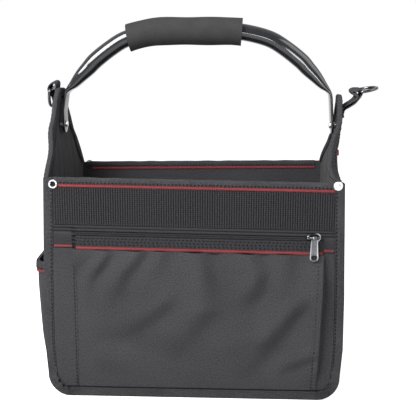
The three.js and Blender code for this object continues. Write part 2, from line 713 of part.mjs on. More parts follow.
// The pull hangs from the crown by an eye: a plate with a round foot and a window.
{
  const eye = new THREE.Shape();
  eye.absarc(0, 0, PULL.eye + PULL.eyeWall, 0, 2 * Math.PI, false);
  eye.holes.push(new THREE.Path().absarc(0, 0, PULL.eye, 0, 2 * Math.PI, true));
  const options = { depth: PULL.eyeWidth, bevelEnabled: false, curveSegments: 8 };
  const ring = new THREE.ExtrudeGeometry(eye, options);
  ring.rotateY(Math.PI / 2).translate(SLIDER.x - PULL.eyeWidth / 2, crownY, SLIDER.z);
  const [wide, narrow] = [PULL.wide / 2, PULL.narrow / 2];
  const top = SLIDER.z - PULL.eye - PULL.eyeWall / 2;
  const foot = SLIDER.z - PULL.length + wide;
  const plate = new THREE.Shape();
  plate.moveTo(SLIDER.x + narrow, top);
  plate.lineTo(SLIDER.x - narrow, top);
  plate.lineTo(SLIDER.x - wide, foot);
  plate.absarc(SLIDER.x, foot, wide, Math.PI, 2 * Math.PI, false);
  plate.holes.push(new THREE.Path().absarc(SLIDER.x, foot, PULL.window, 0, 2 * Math.PI, true));
  const blade = upright(plate, PULL.thick, crownY + PULL.thick / 2);
  piece("zip_pull", join([ring, blade]), ZIP_GREY);
}

// Trims and pocket of the ends

// A strip on an end panel's outer face: rows of heights, places from front to back and how far it stands off.
function endSheet(side, heights, places, thickness, standOff, tilt = 0) {
  const points = heights.map((height) =>
    places(height).map((place) => {
      const y = -side.sign * place;
      const z = height + tilt * y;
      return new THREE.Vector3(side.sign * (endFace(side, y, z) + standOff(y, height) + thickness), y, z);
    }),
  );
  return wall(points, thickness);
}
for (const side of SIDES) {
  const places = (z) => COLUMNS.map((share) => share * (halfDepth(side, z) - SIDE_LEG - SIDE_TRIM.inset));
  const braid = endSheet(side, [SIDE_TRIM.foot, SIDE_TRIM.foot + BRAID], places, TAPE, () => SOFT_GAP);
  piece(`side_trim_${side.name}`, braid, BRAID_RED);
}

// The left end's open pocket, with its hem tape and a braid under the tape.
{
  const side = SIDES[0];
  const { half, fullness, tilt, band } = SIDE_POCKET;
  const over = half + SOFT_GAP + TAPE;
  const places = (reach) => () => POCKET_COLUMNS.map((share) => share * reach);
  const bulge = (reach) => (y, z) =>
    GAP + read(SIDE_BULGE, "z", "bulge", z) * (1 - Math.abs(y / reach) ** fullness);
  const overPocket = (y, z) => bulge(over)(y, z) + SHEET + SOFT_GAP;
  const rim = SIDE_BULGE.at(-1).z;
  const braidTop = rim - band - GAP;
  const heights = SIDE_BULGE.map((row) => row.z);
  const strip = (foot, top) => endSheet(side, [foot, top], places(over), TAPE, overPocket, tilt);
  piece("side_pocket_left", endSheet(side, heights, places(half), SHEET, bulge(half), tilt), CLOTH_GREY);
  piece("side_pocket_band_left", strip(rim - band, rim), TAPE_GREY);
  piece("side_pocket_trim_left", strip(braidTop - BRAID, braidTop), BRAID_RED);
}

// Handle

// The arch's whole centre line, from the left tab to the right one.
const arch = (() => {
  const half = smooth(HANDLE, 2);
  const left = half.slice(1).map((p) => ({ ...p, x: -p.x }));
  return [...left.reverse(), ...half];
})();

// The direction of a line of rows at one of them, in the XZ plane.
function heading(line, i) {
  const before = line[Math.max(0, i - 1)];
  const after = line[Math.min(line.length - 1, i + 1)];
  return new THREE.Vector2(after.x - before.x, after.z - before.z).normalize();
}

// A flattened tube's section: two half circles and the straight sides between them.
function tubeSection({ thick, wide }, wallIn, sides) {
  const flat = (wide - thick) / 2;
  const radius = thick / 2 - wallIn;
  return Array.from({ length: sides }, (_, i) => {
    const angle = (2 * Math.PI * (i + 0.5)) / sides;
    const y = radius * Math.sin(angle) + flat * Math.sign(Math.sin(angle));
    return new THREE.Vector2(radius * Math.cos(angle), y);
  });
}

// The tube, with flat round-ended tabs drilled for the pivots. Its hollow thins to a slit, open at the holes.
{
  const bend = (line, wallIn, sides) =>
    line.map((p, i) => {
      const way = heading(line, i);
      const section = tubeSection(p, wallIn, sides);
      return section.map((q) => new THREE.Vector3(p.x - way.y * q.x, q.y, p.z + way.x * q.x));
    });
  const tab = (side, section, angles) =>
    angles.map((angle) => {
      const drop = Math.max(...section.map((q) => q.y)) * Math.sin(angle);
      const x = TAB.x + TAB.lean * drop;
      return section.map(
        (q) => new THREE.Vector3(side.sign * (x + q.x), q.y * Math.cos(angle), PIVOT.z - drop),
      );
    });
  const shell = (line, wallIn, sides, angles) => {
    const section = tubeSection(TAB, wallIn, sides);
    const [left, right] = SIDES.map((side) => tab(side, section, angles));
    return loft([...left.reverse(), ...bend(line, wallIn, sides), ...right], section);
  };
  const everySecond = arch.filter((_, i) => i % 2 === 0);
  const tube = shell(arch, 0, 12, spread(0, TAB.roundTo, 6));
  const hollow = shell(everySecond, TUBE_WALL, 6, [0]);
  const holes = SIDES.map((side) => {
    const hole = new THREE.CylinderGeometry(PIVOT.hole, PIVOT.hole, 4 * TAB.thick, 16);
    return hole.rotateZ(Math.PI / 2).translate(side.sign * TAB.x, 0, PIVOT.z);
  });
  piece("handle_tube", cut(tube, [hollow, ...holes]), BLACK_PAINT);
}

// The foam grip: a sleeve on the arch, made of slices round the tube.
// Its ends are cut a little steeper than square to the arch.
{
  const { left, right, radius, bore, round, lean } = GRIP;
  const covered = arch.map((p) => p.x).filter((x) => x > left + 2 * round && x < right - 2 * round);
  const roundEnd = (x, way) => [
    { x, r: radius - round },
    { x: x + way * 0.3 * round, r: radius - 0.3 * round },
    { x: x + way * round, r: radius },
  ];
  const profile = [
    { x: left, r: bore },
    ...roundEnd(left, 1),
    ...covered.map((x) => ({ x, r: radius })),
    ...roundEnd(right, -1).reverse(),
    { x: right, r: bore },
    ...[...covered].reverse().map((x) => ({ x, r: bore })),
  ];
  const height = (x) => read(arch, "x", "z", x);
  const slices = 12;
  const rings = Array.from({ length: slices }, (_, i) => {
    const angle = (2 * Math.PI * (i + 0.5)) / slices;
    return profile.map(({ x, r }) => {
      const way = new THREE.Vector2(2, lean * (height(x + 1) - height(x - 1))).normalize();
      const lift = r * Math.cos(angle);
      return new THREE.Vector3(x - way.y * lift, r * Math.sin(angle), height(x) + way.x * lift);
    });
  });
  piece("grip", loft(rings), FOAM);
}

// A pivot: a domed head inside the tab, a spacer, and a flat head on the peak's outer face.
for (const side of SIDES) {
  const tabIn = TAB.x - TAB.thick / 2 - SOFT_GAP;
  const tabOut = TAB.x + TAB.thick / 2 + SOFT_GAP;
  const around = spread(0, 2 * Math.PI, 9).map((a) =>
    endFace(side, PIVOT.washer * Math.sin(a), PIVOT.z + PIVOT.washer * Math.cos(a)),
  );
  const peakOut = Math.max(endFace(side, 0, PIVOT.z), ...around) + SOFT_GAP;
  const peakIn = Math.min(...around) - CLOTH - SOFT_GAP;
  const dome = spread(Math.PI / 2, 0, 4).map(
    (a) => new THREE.Vector2(PIVOT.head * Math.cos(a), tabIn - PIVOT.dome * Math.sin(a)),
  );
  const steps = [
    [PIVOT.shaft, tabIn],
    [PIVOT.shaft, tabOut],
    [PIVOT.spacer, tabOut],
    [PIVOT.spacer, peakIn],
    [PIVOT.shaft, peakIn],
    [PIVOT.shaft, peakOut],
    [PIVOT.washer, peakOut],
    [PIVOT.washer - PIVOT.washerThick, peakOut + PIVOT.washerThick],
    [0, peakOut + PIVOT.washerThick],
  ].map(([radius, x]) => new THREE.Vector2(radius, x));
  const profile = [new THREE.Vector2(0, tabIn - PIVOT.dome), ...dome.slice(1), ...steps];
  const rivet = new THREE.LatheGeometry(profile, 12).rotateZ((-side.sign * Math.PI) / 2);
  piece(`handle_rivet_${side.name}`, rivet.translate(0, 0, PIVOT.z), STEEL);
}

// Loops and D-rings

// A webbing loop: a strip that leaves the peak, turns round the ring's bar and comes back to the same seam.
// Above the seam it slants across its width as the bar does.
for (const side of SIDES) {
  const line = smooth(STRAP[side.name], 2);
  const slant = Math.tan(THREE.MathUtils.degToRad(RING_BAR[side.name].tilt));
  const points = line.map((p, i) => {
    const ahead = heading(line, i);
    const share = THREE.MathUtils.smoothstep(p.z, STRAP_SEAM, STRAP_SEAM + STRAP_TURN);
    const x = side.sign * (p.x - (ahead.y * SHEET) / 2);
    const z = p.z + (ahead.x * SHEET) / 2;
    return [-1, 1].map((way) => {
      const y = (side.sign * way * STRAP_WIDTH) / 2;
      return new THREE.Vector3(x, y, z + share * slant * y);
    });
  });
  piece(`ring_strap_${side.name}`, wall(points, SHEET), WEBBING_BLACK);
}

// A D-ring's wire: a bar, two short legs and a half circle, in its own plane of reach and width.
function ringPath() {
  const { half, leg, corner } = RING;
  const bend = (from, to, count, reach, width, radius) =>
    spread(from, to, count).map((a) => ({
      reach: reach + radius * Math.sin(a),
      width: width + radius * Math.cos(a),
      normal: a,
    }));
  return [
    { reach: 0, width: 0, normal: -Math.PI / 2 },
    ...bend(-Math.PI / 2, 0, 4, corner, half - corner, corner),
    ...bend(0, Math.PI, 11, leg, 0, half),
    ...bend(Math.PI, 1.5 * Math.PI, 4, corner, corner - half, corner),
  ];
}
for (const side of SIDES) {
  const bar = RING_BAR[side.name];
  const tilt = THREE.MathUtils.degToRad(bar.tilt);
  const angle = THREE.MathUtils.degToRad(bar.angle);
  const along = new THREE.Vector3(1, 0, 0);
  const wide = new THREE.Vector3(0, 1, 0).applyAxisAngle(along, tilt);
  const out = new THREE.Vector3(side.sign * Math.cos(angle), 0, Math.sin(angle)).applyAxisAngle(along, tilt);
  const flat = new THREE.Vector3().crossVectors(out, wide);
  const centre = new THREE.Vector3(side.sign * bar.x, 0, bar.z);
  const sides = 8;
  const rings = ringPath().map((p) => {
    const normal = out.clone().multiplyScalar(Math.sin(p.normal)).addScaledVector(wide, Math.cos(p.normal));
    const middle = centre.clone().addScaledVector(out, p.reach).addScaledVector(wide, p.width);
    return Array.from({ length: sides }, (_, i) => {
      const turn = (2 * Math.PI * (i + 0.5)) / sides;
      const rim = middle.clone().addScaledVector(normal, RING.wire * Math.cos(turn));
      return rim.addScaledVector(flat, RING.wire * Math.sin(turn));
    });
  });
  piece(`d_ring_${side.name}`, loft(rings), STEEL);
}

export default bag;
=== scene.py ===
"""An open tool bag of padded cloth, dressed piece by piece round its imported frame."""

import math

import bpy
import numpy as np
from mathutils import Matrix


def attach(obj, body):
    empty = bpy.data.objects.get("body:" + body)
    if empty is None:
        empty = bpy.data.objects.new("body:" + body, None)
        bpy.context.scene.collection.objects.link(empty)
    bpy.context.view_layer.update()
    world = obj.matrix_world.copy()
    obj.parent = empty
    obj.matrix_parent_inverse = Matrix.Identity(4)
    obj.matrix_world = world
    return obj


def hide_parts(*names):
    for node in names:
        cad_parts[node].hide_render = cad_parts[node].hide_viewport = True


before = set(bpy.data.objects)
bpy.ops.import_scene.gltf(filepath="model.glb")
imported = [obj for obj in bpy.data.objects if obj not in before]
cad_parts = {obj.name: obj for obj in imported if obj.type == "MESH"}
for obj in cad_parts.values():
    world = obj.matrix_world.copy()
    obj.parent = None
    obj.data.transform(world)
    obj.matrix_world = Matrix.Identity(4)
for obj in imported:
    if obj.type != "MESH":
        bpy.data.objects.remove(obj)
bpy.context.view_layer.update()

# The studio: a pale floor in a room that is white behind the bag and dim in front of it.
# A wide soft box lights it from above on the left, a narrow one from the front, a weak one from the right.
# The camera stands a little above the rim.
MM = 0.001
CAMERA_AT = (42.1, -831.9, 348.0)
CAMERA_YAW = math.radians(-2.03)
CAMERA_PITCH = math.radians(10.1)
CAMERA_ROLL = math.radians(0.21)
CAMERA_LENS = 60.58
CAMERA_SENSOR = 36
LIGHT_AIM = (0, 0, 300)
# Each soft box: its place, the way its long side runs, its size in metres and its power in watts.
SOFT_BOXES = {
    "wide_box": ((-560, -880, 1020), (-1, 0, 1), (0.9, 0.7), 67),
    "small_box": ((140, -1275, 300), (0.56, 0, 0.83), (0.5, 0.07), 2.6),
    "fill_box": ((1500, -500, 1200), (0, 1, 0), (1.6, 1.6), 36),
}
ROOM_DIM = (0.38, 0.38, 0.39, 1)
WHITE = (1, 1, 1, 1)
# The room turns from dim to white between these shares of a direction towards the back.
ROOM_TURN = (-0.6, 0.0)
FLOOR_HALF = 6.0
PAPER_COLOURS = ((0.41, 0.41, 0.41, 1), (0.43, 0.43, 0.43, 1))
FLOOR_GLOW = 0.66


def unit(vectors):
    """Each vector divided by its own length."""
    return vectors / np.linalg.norm(vectors, axis=-1, keepdims=True)


def placed(thing, at, right, up):
    """Puts a light or camera at a point in millimetres, its view along the way that right and up leave."""
    matrix = np.eye(4)
    matrix[:3, 0] = right
    matrix[:3, 1] = up
    matrix[:3, 2] = np.cross(right, up)
    matrix[:3, 3] = np.array(at) * MM
    made = bpy.data.objects.new(thing.name, thing)
    bpy.context.scene.collection.objects.link(made)
    made.matrix_world = matrix.T.tolist()
    return made


class Shade:
    """A socket of a node tree. A sign after it, with another or a number, adds a Math node."""

    def __init__(self, tree, socket=None):
        self.tree = tree
        self.socket = socket

    def node(self, kind, settings, inputs, output=0):
        """Any node: its settings first, then a value or a link for each socket named."""
        made = self.tree.nodes.new("ShaderNode" + kind)
        for name, value in settings.items():
            setattr(made, name, value)
        for key, value in inputs.items():
            if isinstance(value, Shade):
                self.tree.links.new(value.socket, made.inputs[key])
            else:
                made.inputs[key].default_value = value
        return Shade(self.tree, made.outputs[output])

    def place(self, kind="Object"):
        """Where the shaded point is, by one of the outputs of the coordinates' node."""
        return self.node("TexCoord", {}, {}, kind)

    def axis(self, name):
        """One of this vector's three parts."""
        return self.node("SeparateXYZ", {}, {0: self}, name)

    def math(self, operation, *terms):
        return self.node("Math", {"operation": operation}, dict(enumerate(terms)))

    def __add__(self, other):
        return self.math("ADD", self, other)

    def __sub__(self, other):
        return self.math("SUBTRACT", self, other)

    def __mul__(self, other):
        return self.math("MULTIPLY", self, other)

    def __truediv__(self, other):
        return self.math("DIVIDE", self, other)

    def blend(self, low, high):
        """A colour between two, by this value from 0 to 1."""
        return self.node("Mix", {"data_type": "RGBA"}, {0: self, 6: low, 7: high}, 2)

    def noise(self, scale, detail=2.0):
        """Soft noise from 0 to 1, read at this vector."""
        return self.node("TexNoise", {}, {"Vector": self, "Scale": scale, "Detail": detail})

    def bump(self, distance):
        """A normal from this height, where 1 stands for the distance in millimetres."""
        return self.node("Bump", {}, {"Height": self, "Distance": distance * MM}, "Normal")


def paint(red, green, blue):
    """A colour from 0 to 255 on a screen, as linear light."""
    screen = np.array([red, green, blue]) / 255
    linear = np.where(screen <= 0.04045, screen / 12.92, ((screen + 0.055) / 1.055) ** 2.4)
    return (*linear.tolist(), 1.0)


def finish(name, varying, **constants):
    """A material: constants for the shader's sockets, and sockets that change over the surface."""
    made = bpy.data.materials.new(name)
    made.use_nodes = True
    shader = made.node_tree.nodes["Principled BSDF"]
    for socket, value in constants.items():
        shader.inputs[socket.replace("_", " ")].default_value = value
    for socket, shade in varying(Shade(made.node_tree)).items():
        made.node_tree.links.new(shade.socket, shader.inputs[socket])
    return made


def speckled(name, colours, scale, **constants):
    """A plain material with a fine noise between two colours."""

    def varying(tree):
        return {"Base Color": tree.place().noise(scale).blend(*colours)}

    return finish(name, varying, **constants)


def wear_and_painted_light(name, colours, wear, rough, dents=None, **constants):
    """A hard material. A noise of wear changes its colour, and its roughness by a share over a least value.
    Wear is a noise's scale and detail, and dents are a noise's scale and depth."""

    def varying(tree):
        place = tree.place()
        tone = place.noise(*wear)
        look = {"Base Color": tone.blend(*colours), "Roughness": tone * rough[0] + rough[1]}
        if dents:
            look["Normal"] = place.noise(dents[0]).bump(dents[1])
        return look

    return finish(name, varying, **constants)


floor_corners = [(x * FLOOR_HALF, y * FLOOR_HALF, 0) for x, y in ((-1, -1), (1, -1), (1, 1), (-1, 1))]
floor_mesh = bpy.data.meshes.new("floor")
floor_mesh.from_pydata(floor_corners, [], [(0, 1, 2, 3)])
floor_look = {"Roughness": 0.9, "Emission_Color": WHITE, "Emission_Strength": FLOOR_GLOW}
floor_mesh.materials.append(speckled("floor_paper", PAPER_COLOURS, 3, **floor_look))
floor = bpy.data.objects.new("floor", floor_mesh)
bpy.context.scene.collection.objects.link(floor)

room = bpy.data.worlds.new("room")
room.use_nodes = True
direction = Shade(room.node_tree).place("Generated")
to_back = direction.axis("Y")
turning = {0: to_back, 1: ROOM_TURN[0], 2: ROOM_TURN[1]}
lit = to_back.node("MapRange", {"interpolation_type": "SMOOTHSTEP"}, turning)
room_colour = room.node_tree.nodes["Background"].inputs["Color"]
room.node_tree.links.new(lit.blend(ROOM_DIM, WHITE).socket, room_colour)
bpy.context.scene.world = room
bpy.context.scene.view_settings.view_transform = "Standard"

for name, (box_at, long_way, box_size, power) in SOFT_BOXES.items():
    box_light = bpy.data.lights.new(name, "AREA")
    box_light.shape = "RECTANGLE"
    box_light.size, box_light.size_y = box_size
    box_light.energy = power
    box_back = unit(np.subtract(box_at, LIGHT_AIM))
    box_long = unit(long_way - np.dot(long_way, box_back) * box_back)
    soft_box = placed(box_light, box_at, box_long, np.cross(box_back, box_long))
    soft_box.visible_camera = False

level = np.array([math.cos(CAMERA_YAW), -math.sin(CAMERA_YAW), 0])
forward = np.array([math.sin(CAMERA_YAW), math.cos(CAMERA_YAW), 0])
ahead = math.cos(CAMERA_PITCH) * forward - math.sin(CAMERA_PITCH) * np.array([0, 0, 1])
above = np.cross(level, ahead)
roll_cos, roll_sin = math.cos(CAMERA_ROLL), math.sin(CAMERA_ROLL)
view = bpy.data.cameras.new("photo_camera")
view.sensor_width = CAMERA_SENSOR
view.lens = CAMERA_LENS
view_right, view_up = roll_cos * level + roll_sin * above, roll_cos * above - roll_sin * level
bpy.context.scene.camera = placed(view, CAMERA_AT, view_right, view_up)

# The front and back panels: flat padded cloth with round lower corners, cut to one pattern.
# They are sewn to the ends and the base. The front rim hangs lower to the right, the back one to the left.
DEPTH = 190
RIM = 246
CLOTH = 2
SHEET = 1.5
TAPE = 1.2
GAP = 0.3
SOFT_GAP = 0.6
FACE = DEPTH / 2
SEAM = FACE - CLOTH - GAP
LIFT = TAPE + GAP
CORNER = 24
FLOOR_CURVE = LIFT + CORNER
HALF_WIDTH_AT = {0: 161, 26: 161.3, 60: 163.6, 120: 163, 190: 161, 246: 159.3, 275: 160.5, 300: 161.5}
SIDE_FROM = 29
ENDS = (("front", -1), ("back", 1))
RIM_DROP = 2.0
RIM_HALF = 150
# Heights between which the rims' drop sets in, and ends again in the peaks.
DROP_IN = (90, 175)
DROP_OUT = (255, 300)
# Faces that meet at a sharper turn than this keep their edge.
CREASE = math.radians(38)


def reading(table, at):
    """A table's value at a place, straight between its rows."""
    return np.interp(at, list(table.keys()), list(table.values()))


def ramp(value, low, high):
    """0 below low, 1 above high, and a smooth S between."""
    share = np.clip((value - low) / (high - low), 0, 1)
    return share * share * (3 - 2 * share)


def half_width(z):
    return reading(HALF_WIDTH_AT, z)


FLOOR_END = float(half_width(FLOOR_CURVE)) - CORNER


def panel_half(z):
    """Half width of a panel at a height: the corner's quarter circle, then the sides."""
    below = np.clip(FLOOR_CURVE - z, 0, CORNER)
    return np.where(z < FLOOR_CURVE, FLOOR_END + np.sqrt(CORNER**2 - below**2), half_width(z))


def settled(points):
    """Points near the rim moved down in front and up at the back, in step with their place to the right."""
    near_rim = ramp(points[..., 2], *DROP_IN) * (1 - ramp(points[..., 2], *DROP_OUT))
    moved = points.copy()
    moved[..., 2] += RIM_DROP * points[..., 0] / RIM_HALF * points[..., 1] / FACE * near_rim
    return moved


def grid(*parts):
    """Points from arrays of x, y and z that share a grid's rows and columns."""
    return np.stack(np.broadcast_arrays(*parts), axis=-1).astype(float)


def run(points, axis):
    """Length along a grid's lines, measured from the first."""
    steps = np.linalg.norm(np.diff(points, axis=axis), axis=-1)
    return np.concatenate([np.zeros_like(np.take(steps, [0], axis)), np.cumsum(steps, axis)], axis)


def slab(outer, inner):
    """A closed sheet between two grids: both faces as quads, and a strip round their edges."""
    rows, columns = outer.shape[:2]
    ids = np.arange(rows * columns).reshape(rows, columns)
    quads = np.stack([ids[:-1, :-1], ids[:-1, 1:], ids[1:, 1:], ids[1:, :-1]], -1).reshape(-1, 4)
    edge = np.concatenate([ids[0, :-1], ids[:-1, -1], ids[-1, :0:-1], ids[:0:-1, 0]])
    after = np.roll(edge, -1)
    strip = np.stack([after, edge, edge + ids.size, after + ids.size], -1)
    faces = np.concatenate([quads, quads[:, ::-1] + ids.size, strip])
    flat = np.stack([run(outer, 1), run(outer, 0)], -1).reshape(-1, 2)
    corners = np.concatenate([outer.reshape(-1, 3), inner.reshape(-1, 3)])
    return corners, faces.tolist(), np.concatenate([flat, flat])


def layer(face, thickness):
    """A closed sheet behind an outer face. The way of its columns crossed with its rows' points out."""
    out = unit(np.cross(np.gradient(face, axis=1), np.gradient(face, axis=0)))
    return slab(face, face - out * thickness)


def circle(count):
    """Even angles all the way round."""
    return np.linspace(0, 2 * math.pi, count, endpoint=False)


def bowed(value, power):
    """A value's size raised to a power, its sign kept."""
    return np.sign(value) * abs(value) ** power


def piece(name, shape, look, nodes=(), body="body"):
    """A mesh object from points in millimetres, its faces turned outwards, riding on a body."""
    corners, faces, flat = shape
    fans = np.array([(f[0], f[k], f[k + 1]) for f in faces for k in range(1, len(f) - 1)])
    a, b, c = (corners[fans[:, k]] for k in range(3))
    if np.einsum("ij,ij->", a, np.cross(b, c)) < 0:
        faces = [f[::-1] for f in faces]
    mesh = bpy.data.meshes.new(name)
    mesh.from_pydata((corners * MM).tolist(), [], faces)
    at_corner = np.empty(len(mesh.loops), int)
    mesh.loops.foreach_get("vertex_index", at_corner)
    mesh.uv_layers.new(name="cut").data.foreach_set("uv", (flat[at_corner] * MM).ravel())
    mesh.shade_smooth()
    mesh.set_sharp_from_angle(angle=CREASE)
    mesh.materials.append(look)
    made = bpy.data.objects.new(name, mesh)
    bpy.context.scene.collection.objects.link(made)
    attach(made, body)
    if nodes:
        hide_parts(*nodes)
    return made


def dressed(node, kind, shape, look, body="body"):
    """The piece that stands for a node of the frame, named for it and for what it is."""
    return piece(f"{node}_{kind}", shape, look, [node], body)


def weave(tree, thread):
    """Over and under threads of a plain weave: the product of two waves along the cut's two ways."""
    place = tree.place("UV")
    turn = 2 * math.pi / (thread * MM)
    waves = tree.math("SINE", place.axis("X") * turn) * tree.math("SINE", place.axis("Y") * turn)
    return place, waves * 0.5 + 0.5


def woven(name, colours, thread, grain_scale, grain, threads, less, relief, rough=1, patches=(0, 1), **rest):
    """A woven material. Its tone adds shares of grain, threads and broad patches, less a constant.
    Its relief is the threads' height with a share of the grain's."""

    def varying(tree):
        place, over = weave(tree, thread)
        fine = place.noise(grain_scale)
        broad, broad_scale = patches
        tone = fine * grain + over * threads + place.noise(broad_scale) * broad - less
        return {"Base Color": tone.blend(*colours), "Normal": (over + fine * rough).bump(relief)}

    return finish(name, varying, Specular_IOR_Level=DULL, **rest)


DULL = 0.04
CLOTH_COLOURS = (paint(17, 17, 18), paint(50, 50, 52))
cloth = woven(
    "padded_cloth", CLOTH_COLOURS, thread=0.9, grain_scale=760, grain=1.7, threads=0.2, less=0.6,
    relief=0.12, rough=0.8, patches=(0.3, 14), Roughness=0.85, Sheen_Weight=0.03,
)
PANEL_HEIGHTS = np.concatenate(
    [FLOOR_CURVE - CORNER * np.cos(np.linspace(0, math.pi / 2, 12)), np.linspace(SIDE_FROM, RIM, 44)]
)
for end, way in ENDS:
    heights = PANEL_HEIGHTS[:, None]
    across = -way * np.linspace(-1, 1, 61)[None, :] * panel_half(heights)
    face = settled(grid(across, way * FACE, heights))
    dressed(f"{end}_panel", "cloth", layer(face, CLOTH), cloth)

# The ends: one long strip of padded cloth each, curving under at the foot and cut to a peak at the top.
# The peaks lean and crease where the handle hangs on them.
PEAK = {"left": 340.7, "right": 334.2}
PEAK_HALF = 16.4
PEAK_ROUND = 18
TOE = 2
PIVOT_Z = 300
SIDES = (("left", -1), ("right", 1))
# Each dent or lean: its place along the depth and up, its reach both ways, and its depth.
DENTS = {"left": [(-74, 270, 30, 15, 1.7)], "right": [(-78, 284.3, 29.8, 30.1, 11.6)]}
LEANS = {
    "left": [(62, 320, 45, 40, 3.2), (0, 300, 30, 26, 4)],
    "right": [(62, 316, 69.1, 59.9, 7.5), (0, 335, 34, 24, 1.1)],
}
LEAN_RISE = 32
# How far each peak's front edge curls in, and how far back from the edge the curl reaches, by height.
EDGE_CURL = {
    "left": {247: 0, 345: 0},
    "right": {247: 0, 249: 4, 252: 7, 258: 7.5, 263: 6.5, 268: 4.5, 273: 3, 283: 2, 294: 1, 305: 0.5, 315: 0},
}
CURL_REACH = {247: 6, 262: 9, 285: 13}
# Each soft streak: its place along the depth at the rim, how it leans, its reach and its depth.
STREAKS = {
    "left": [
        (-66, 0.25, 5, 1.4), (-40, 0.16, 6, 1.2), (-16, 0.05, 5, 0.9), (38, -0.1, 7, 1.2), (66, -0.2, 6, 1),
    ],
    "right": [(-58, 0.3, 5, 1.6), (-30, 0.1, 6, 1), (30, -0.1, 7, 1.2), (62, -0.25, 6, 1)],
}
STREAK_RISE = (205, 240)
STREAK_CLEAR = (24, 46)


def peak_form(side):
    """A peak's slope: its run for each step up, its turn, its round top's foot and half of its flat top."""
    slope_run = (SEAM - PEAK_HALF) / (PEAK[side] - RIM)
    turn = math.atan2(1, slope_run)
    round_length = PEAK_ROUND * math.tan(turn / 2)
    return slope_run, turn, PEAK[side] - round_length * math.sin(turn), PEAK_HALF - round_length


def half_depth(side, z):
    """Half depth of an end at a height: upright to the rim, then the peak's slope and its round top."""
    slope_run, _, round_foot, top_half = peak_form(side)
    slope = SEAM - (z - RIM) * slope_run
    top = top_half + np.sqrt(np.clip(PEAK_ROUND**2 - (z - PEAK[side] + PEAK_ROUND) ** 2, 0, None))
    return np.where(z <= RIM, SEAM, np.where(z <= round_foot, slope, top))


def bowls(table, y, z):
    """The depth of a table's dents at a place: each a soft round bowl."""
    depths = 0 * y * z
    for at_y, at_z, reach_y, reach_z, depth in table:
        depths = depths + depth * np.exp(-(((y - at_y) / reach_y) ** 2) - ((z - at_z) / reach_z) ** 2)
    return depths


def end_face(side, y, z):
    """Distance from the middle to an end's outer face: half the width, less its dents, with its leans above
    the rim. The front edge curls in. The streaks only lean outwards, and end before the handle's tab."""
    leans = ramp(z, RIM, RIM + LEAN_RISE) * bowls(LEANS[side], y, z)
    from_edge = (y + half_depth(side, z)) / reading(CURL_REACH, z)
    curl = reading(EDGE_CURL[side], z) * np.exp(-(from_edge**2))
    out = half_width(z) - bowls(DENTS[side], y, z) + leans - curl
    shown = ramp(z, *STREAK_RISE) * ramp(np.hypot(y, z - PIVOT_Z), *STREAK_CLEAR)
    for foot, lean, reach, depth in STREAKS[side]:
        out = out + depth * shown * np.exp(-(((y - foot - lean * (z - RIM)) / reach) ** 2))
    return out


for side, way in SIDES:
    turn = np.linspace(0, math.pi / 2, 10)
    _, slope_turn, round_foot, _ = peak_form(side)
    rise = np.concatenate([np.linspace(SIDE_FROM, RIM, 40), np.linspace(RIM, round_foot, 34)[1:]])
    top = PEAK[side] - PEAK_ROUND * (1 - np.cos(np.linspace(slope_turn, 0, 8)[1:]))
    heights = np.concatenate([[LIFT], FLOOR_CURVE - CORNER * np.cos(turn), rise, top])[:, None]
    depth = way * np.linspace(-1, 1, 71)[None, :] * half_depth(side, heights)
    foot = np.concatenate([[FLOOR_END - TOE], FLOOR_END + CORNER * np.sin(turn)])[:, None]
    reach = np.concatenate([foot + 0 * depth[: len(foot)], end_face(side, depth, heights)[len(foot) :]])
    face = settled(grid(way * reach, depth, heights))
    dressed(f"side_panel_{side}", "cloth", layer(face, CLOTH), cloth)

# The base: a rectangle of the same cloth, flat on the floor, its edges lifted on to the binding tape.
SIDE_LEG = 11
BASE_SLOPE = 3.5
BASE_HALF = FLOOR_END - TOE - GAP
base_x = np.linspace(-1, 1, 49)[None, :] * BASE_HALF
base_y = np.linspace(-1, 1, 41)[:, None] * SEAM
raised_x = ramp(abs(base_x), BASE_HALF - BASE_SLOPE, BASE_HALF)
raised_y = ramp(abs(base_y), FACE - SIDE_LEG - BASE_SLOPE, FACE - SIDE_LEG)
base_face = grid(base_x, -base_y, LIFT * np.maximum(raised_x, raised_y))
base_shape = layer(base_face, CLOTH)
base_cloth = dressed("base_panel", "cloth", base_shape, cloth)

# The binding: soft woven tape folded round the edges of the front and back panels from rim to rim.
# It is sewn down with one row of stitches, puckers between them, and is gathered round the lower corners.
FRONT_LEG = 9
STITCH_PITCH = 4.2
STITCH_IN = 7.2
PUCKER = 0.35
GATHER = 1.1
FOOT_LEAN = 1.6
# Heights, and places across, between which a lower corner's gathers set in.
CORNER_UP = (40, 12)
CORNER_ALONG = (118, 146)
# At the corners the tape's edge is crumpled: its pitch, how far it lifts, and how far it moves in.
CRUMPLE = 12.6
CRUMPLE_LIFT = (2, 3.4)
CRUMPLE_IN = (-1.8, 5)
STITCH_OUT = 1.35
TAPE_COLOURS = (paint(21, 21, 22), paint(50, 50, 52))
THREAD_COLOURS = (paint(8, 8, 9), paint(18, 18, 19))
tape = woven(
    "woven_tape", TAPE_COLOURS, thread=1.1, grain_scale=520, grain=1.4, threads=0.25, less=0.6,
    relief=0.14, patches=(0.5, 30), Roughness=0.85,
)
thread = speckled("sewing_thread", THREAD_COLOURS, 1500, Roughness=0.7, Specular_IOR_Level=DULL)


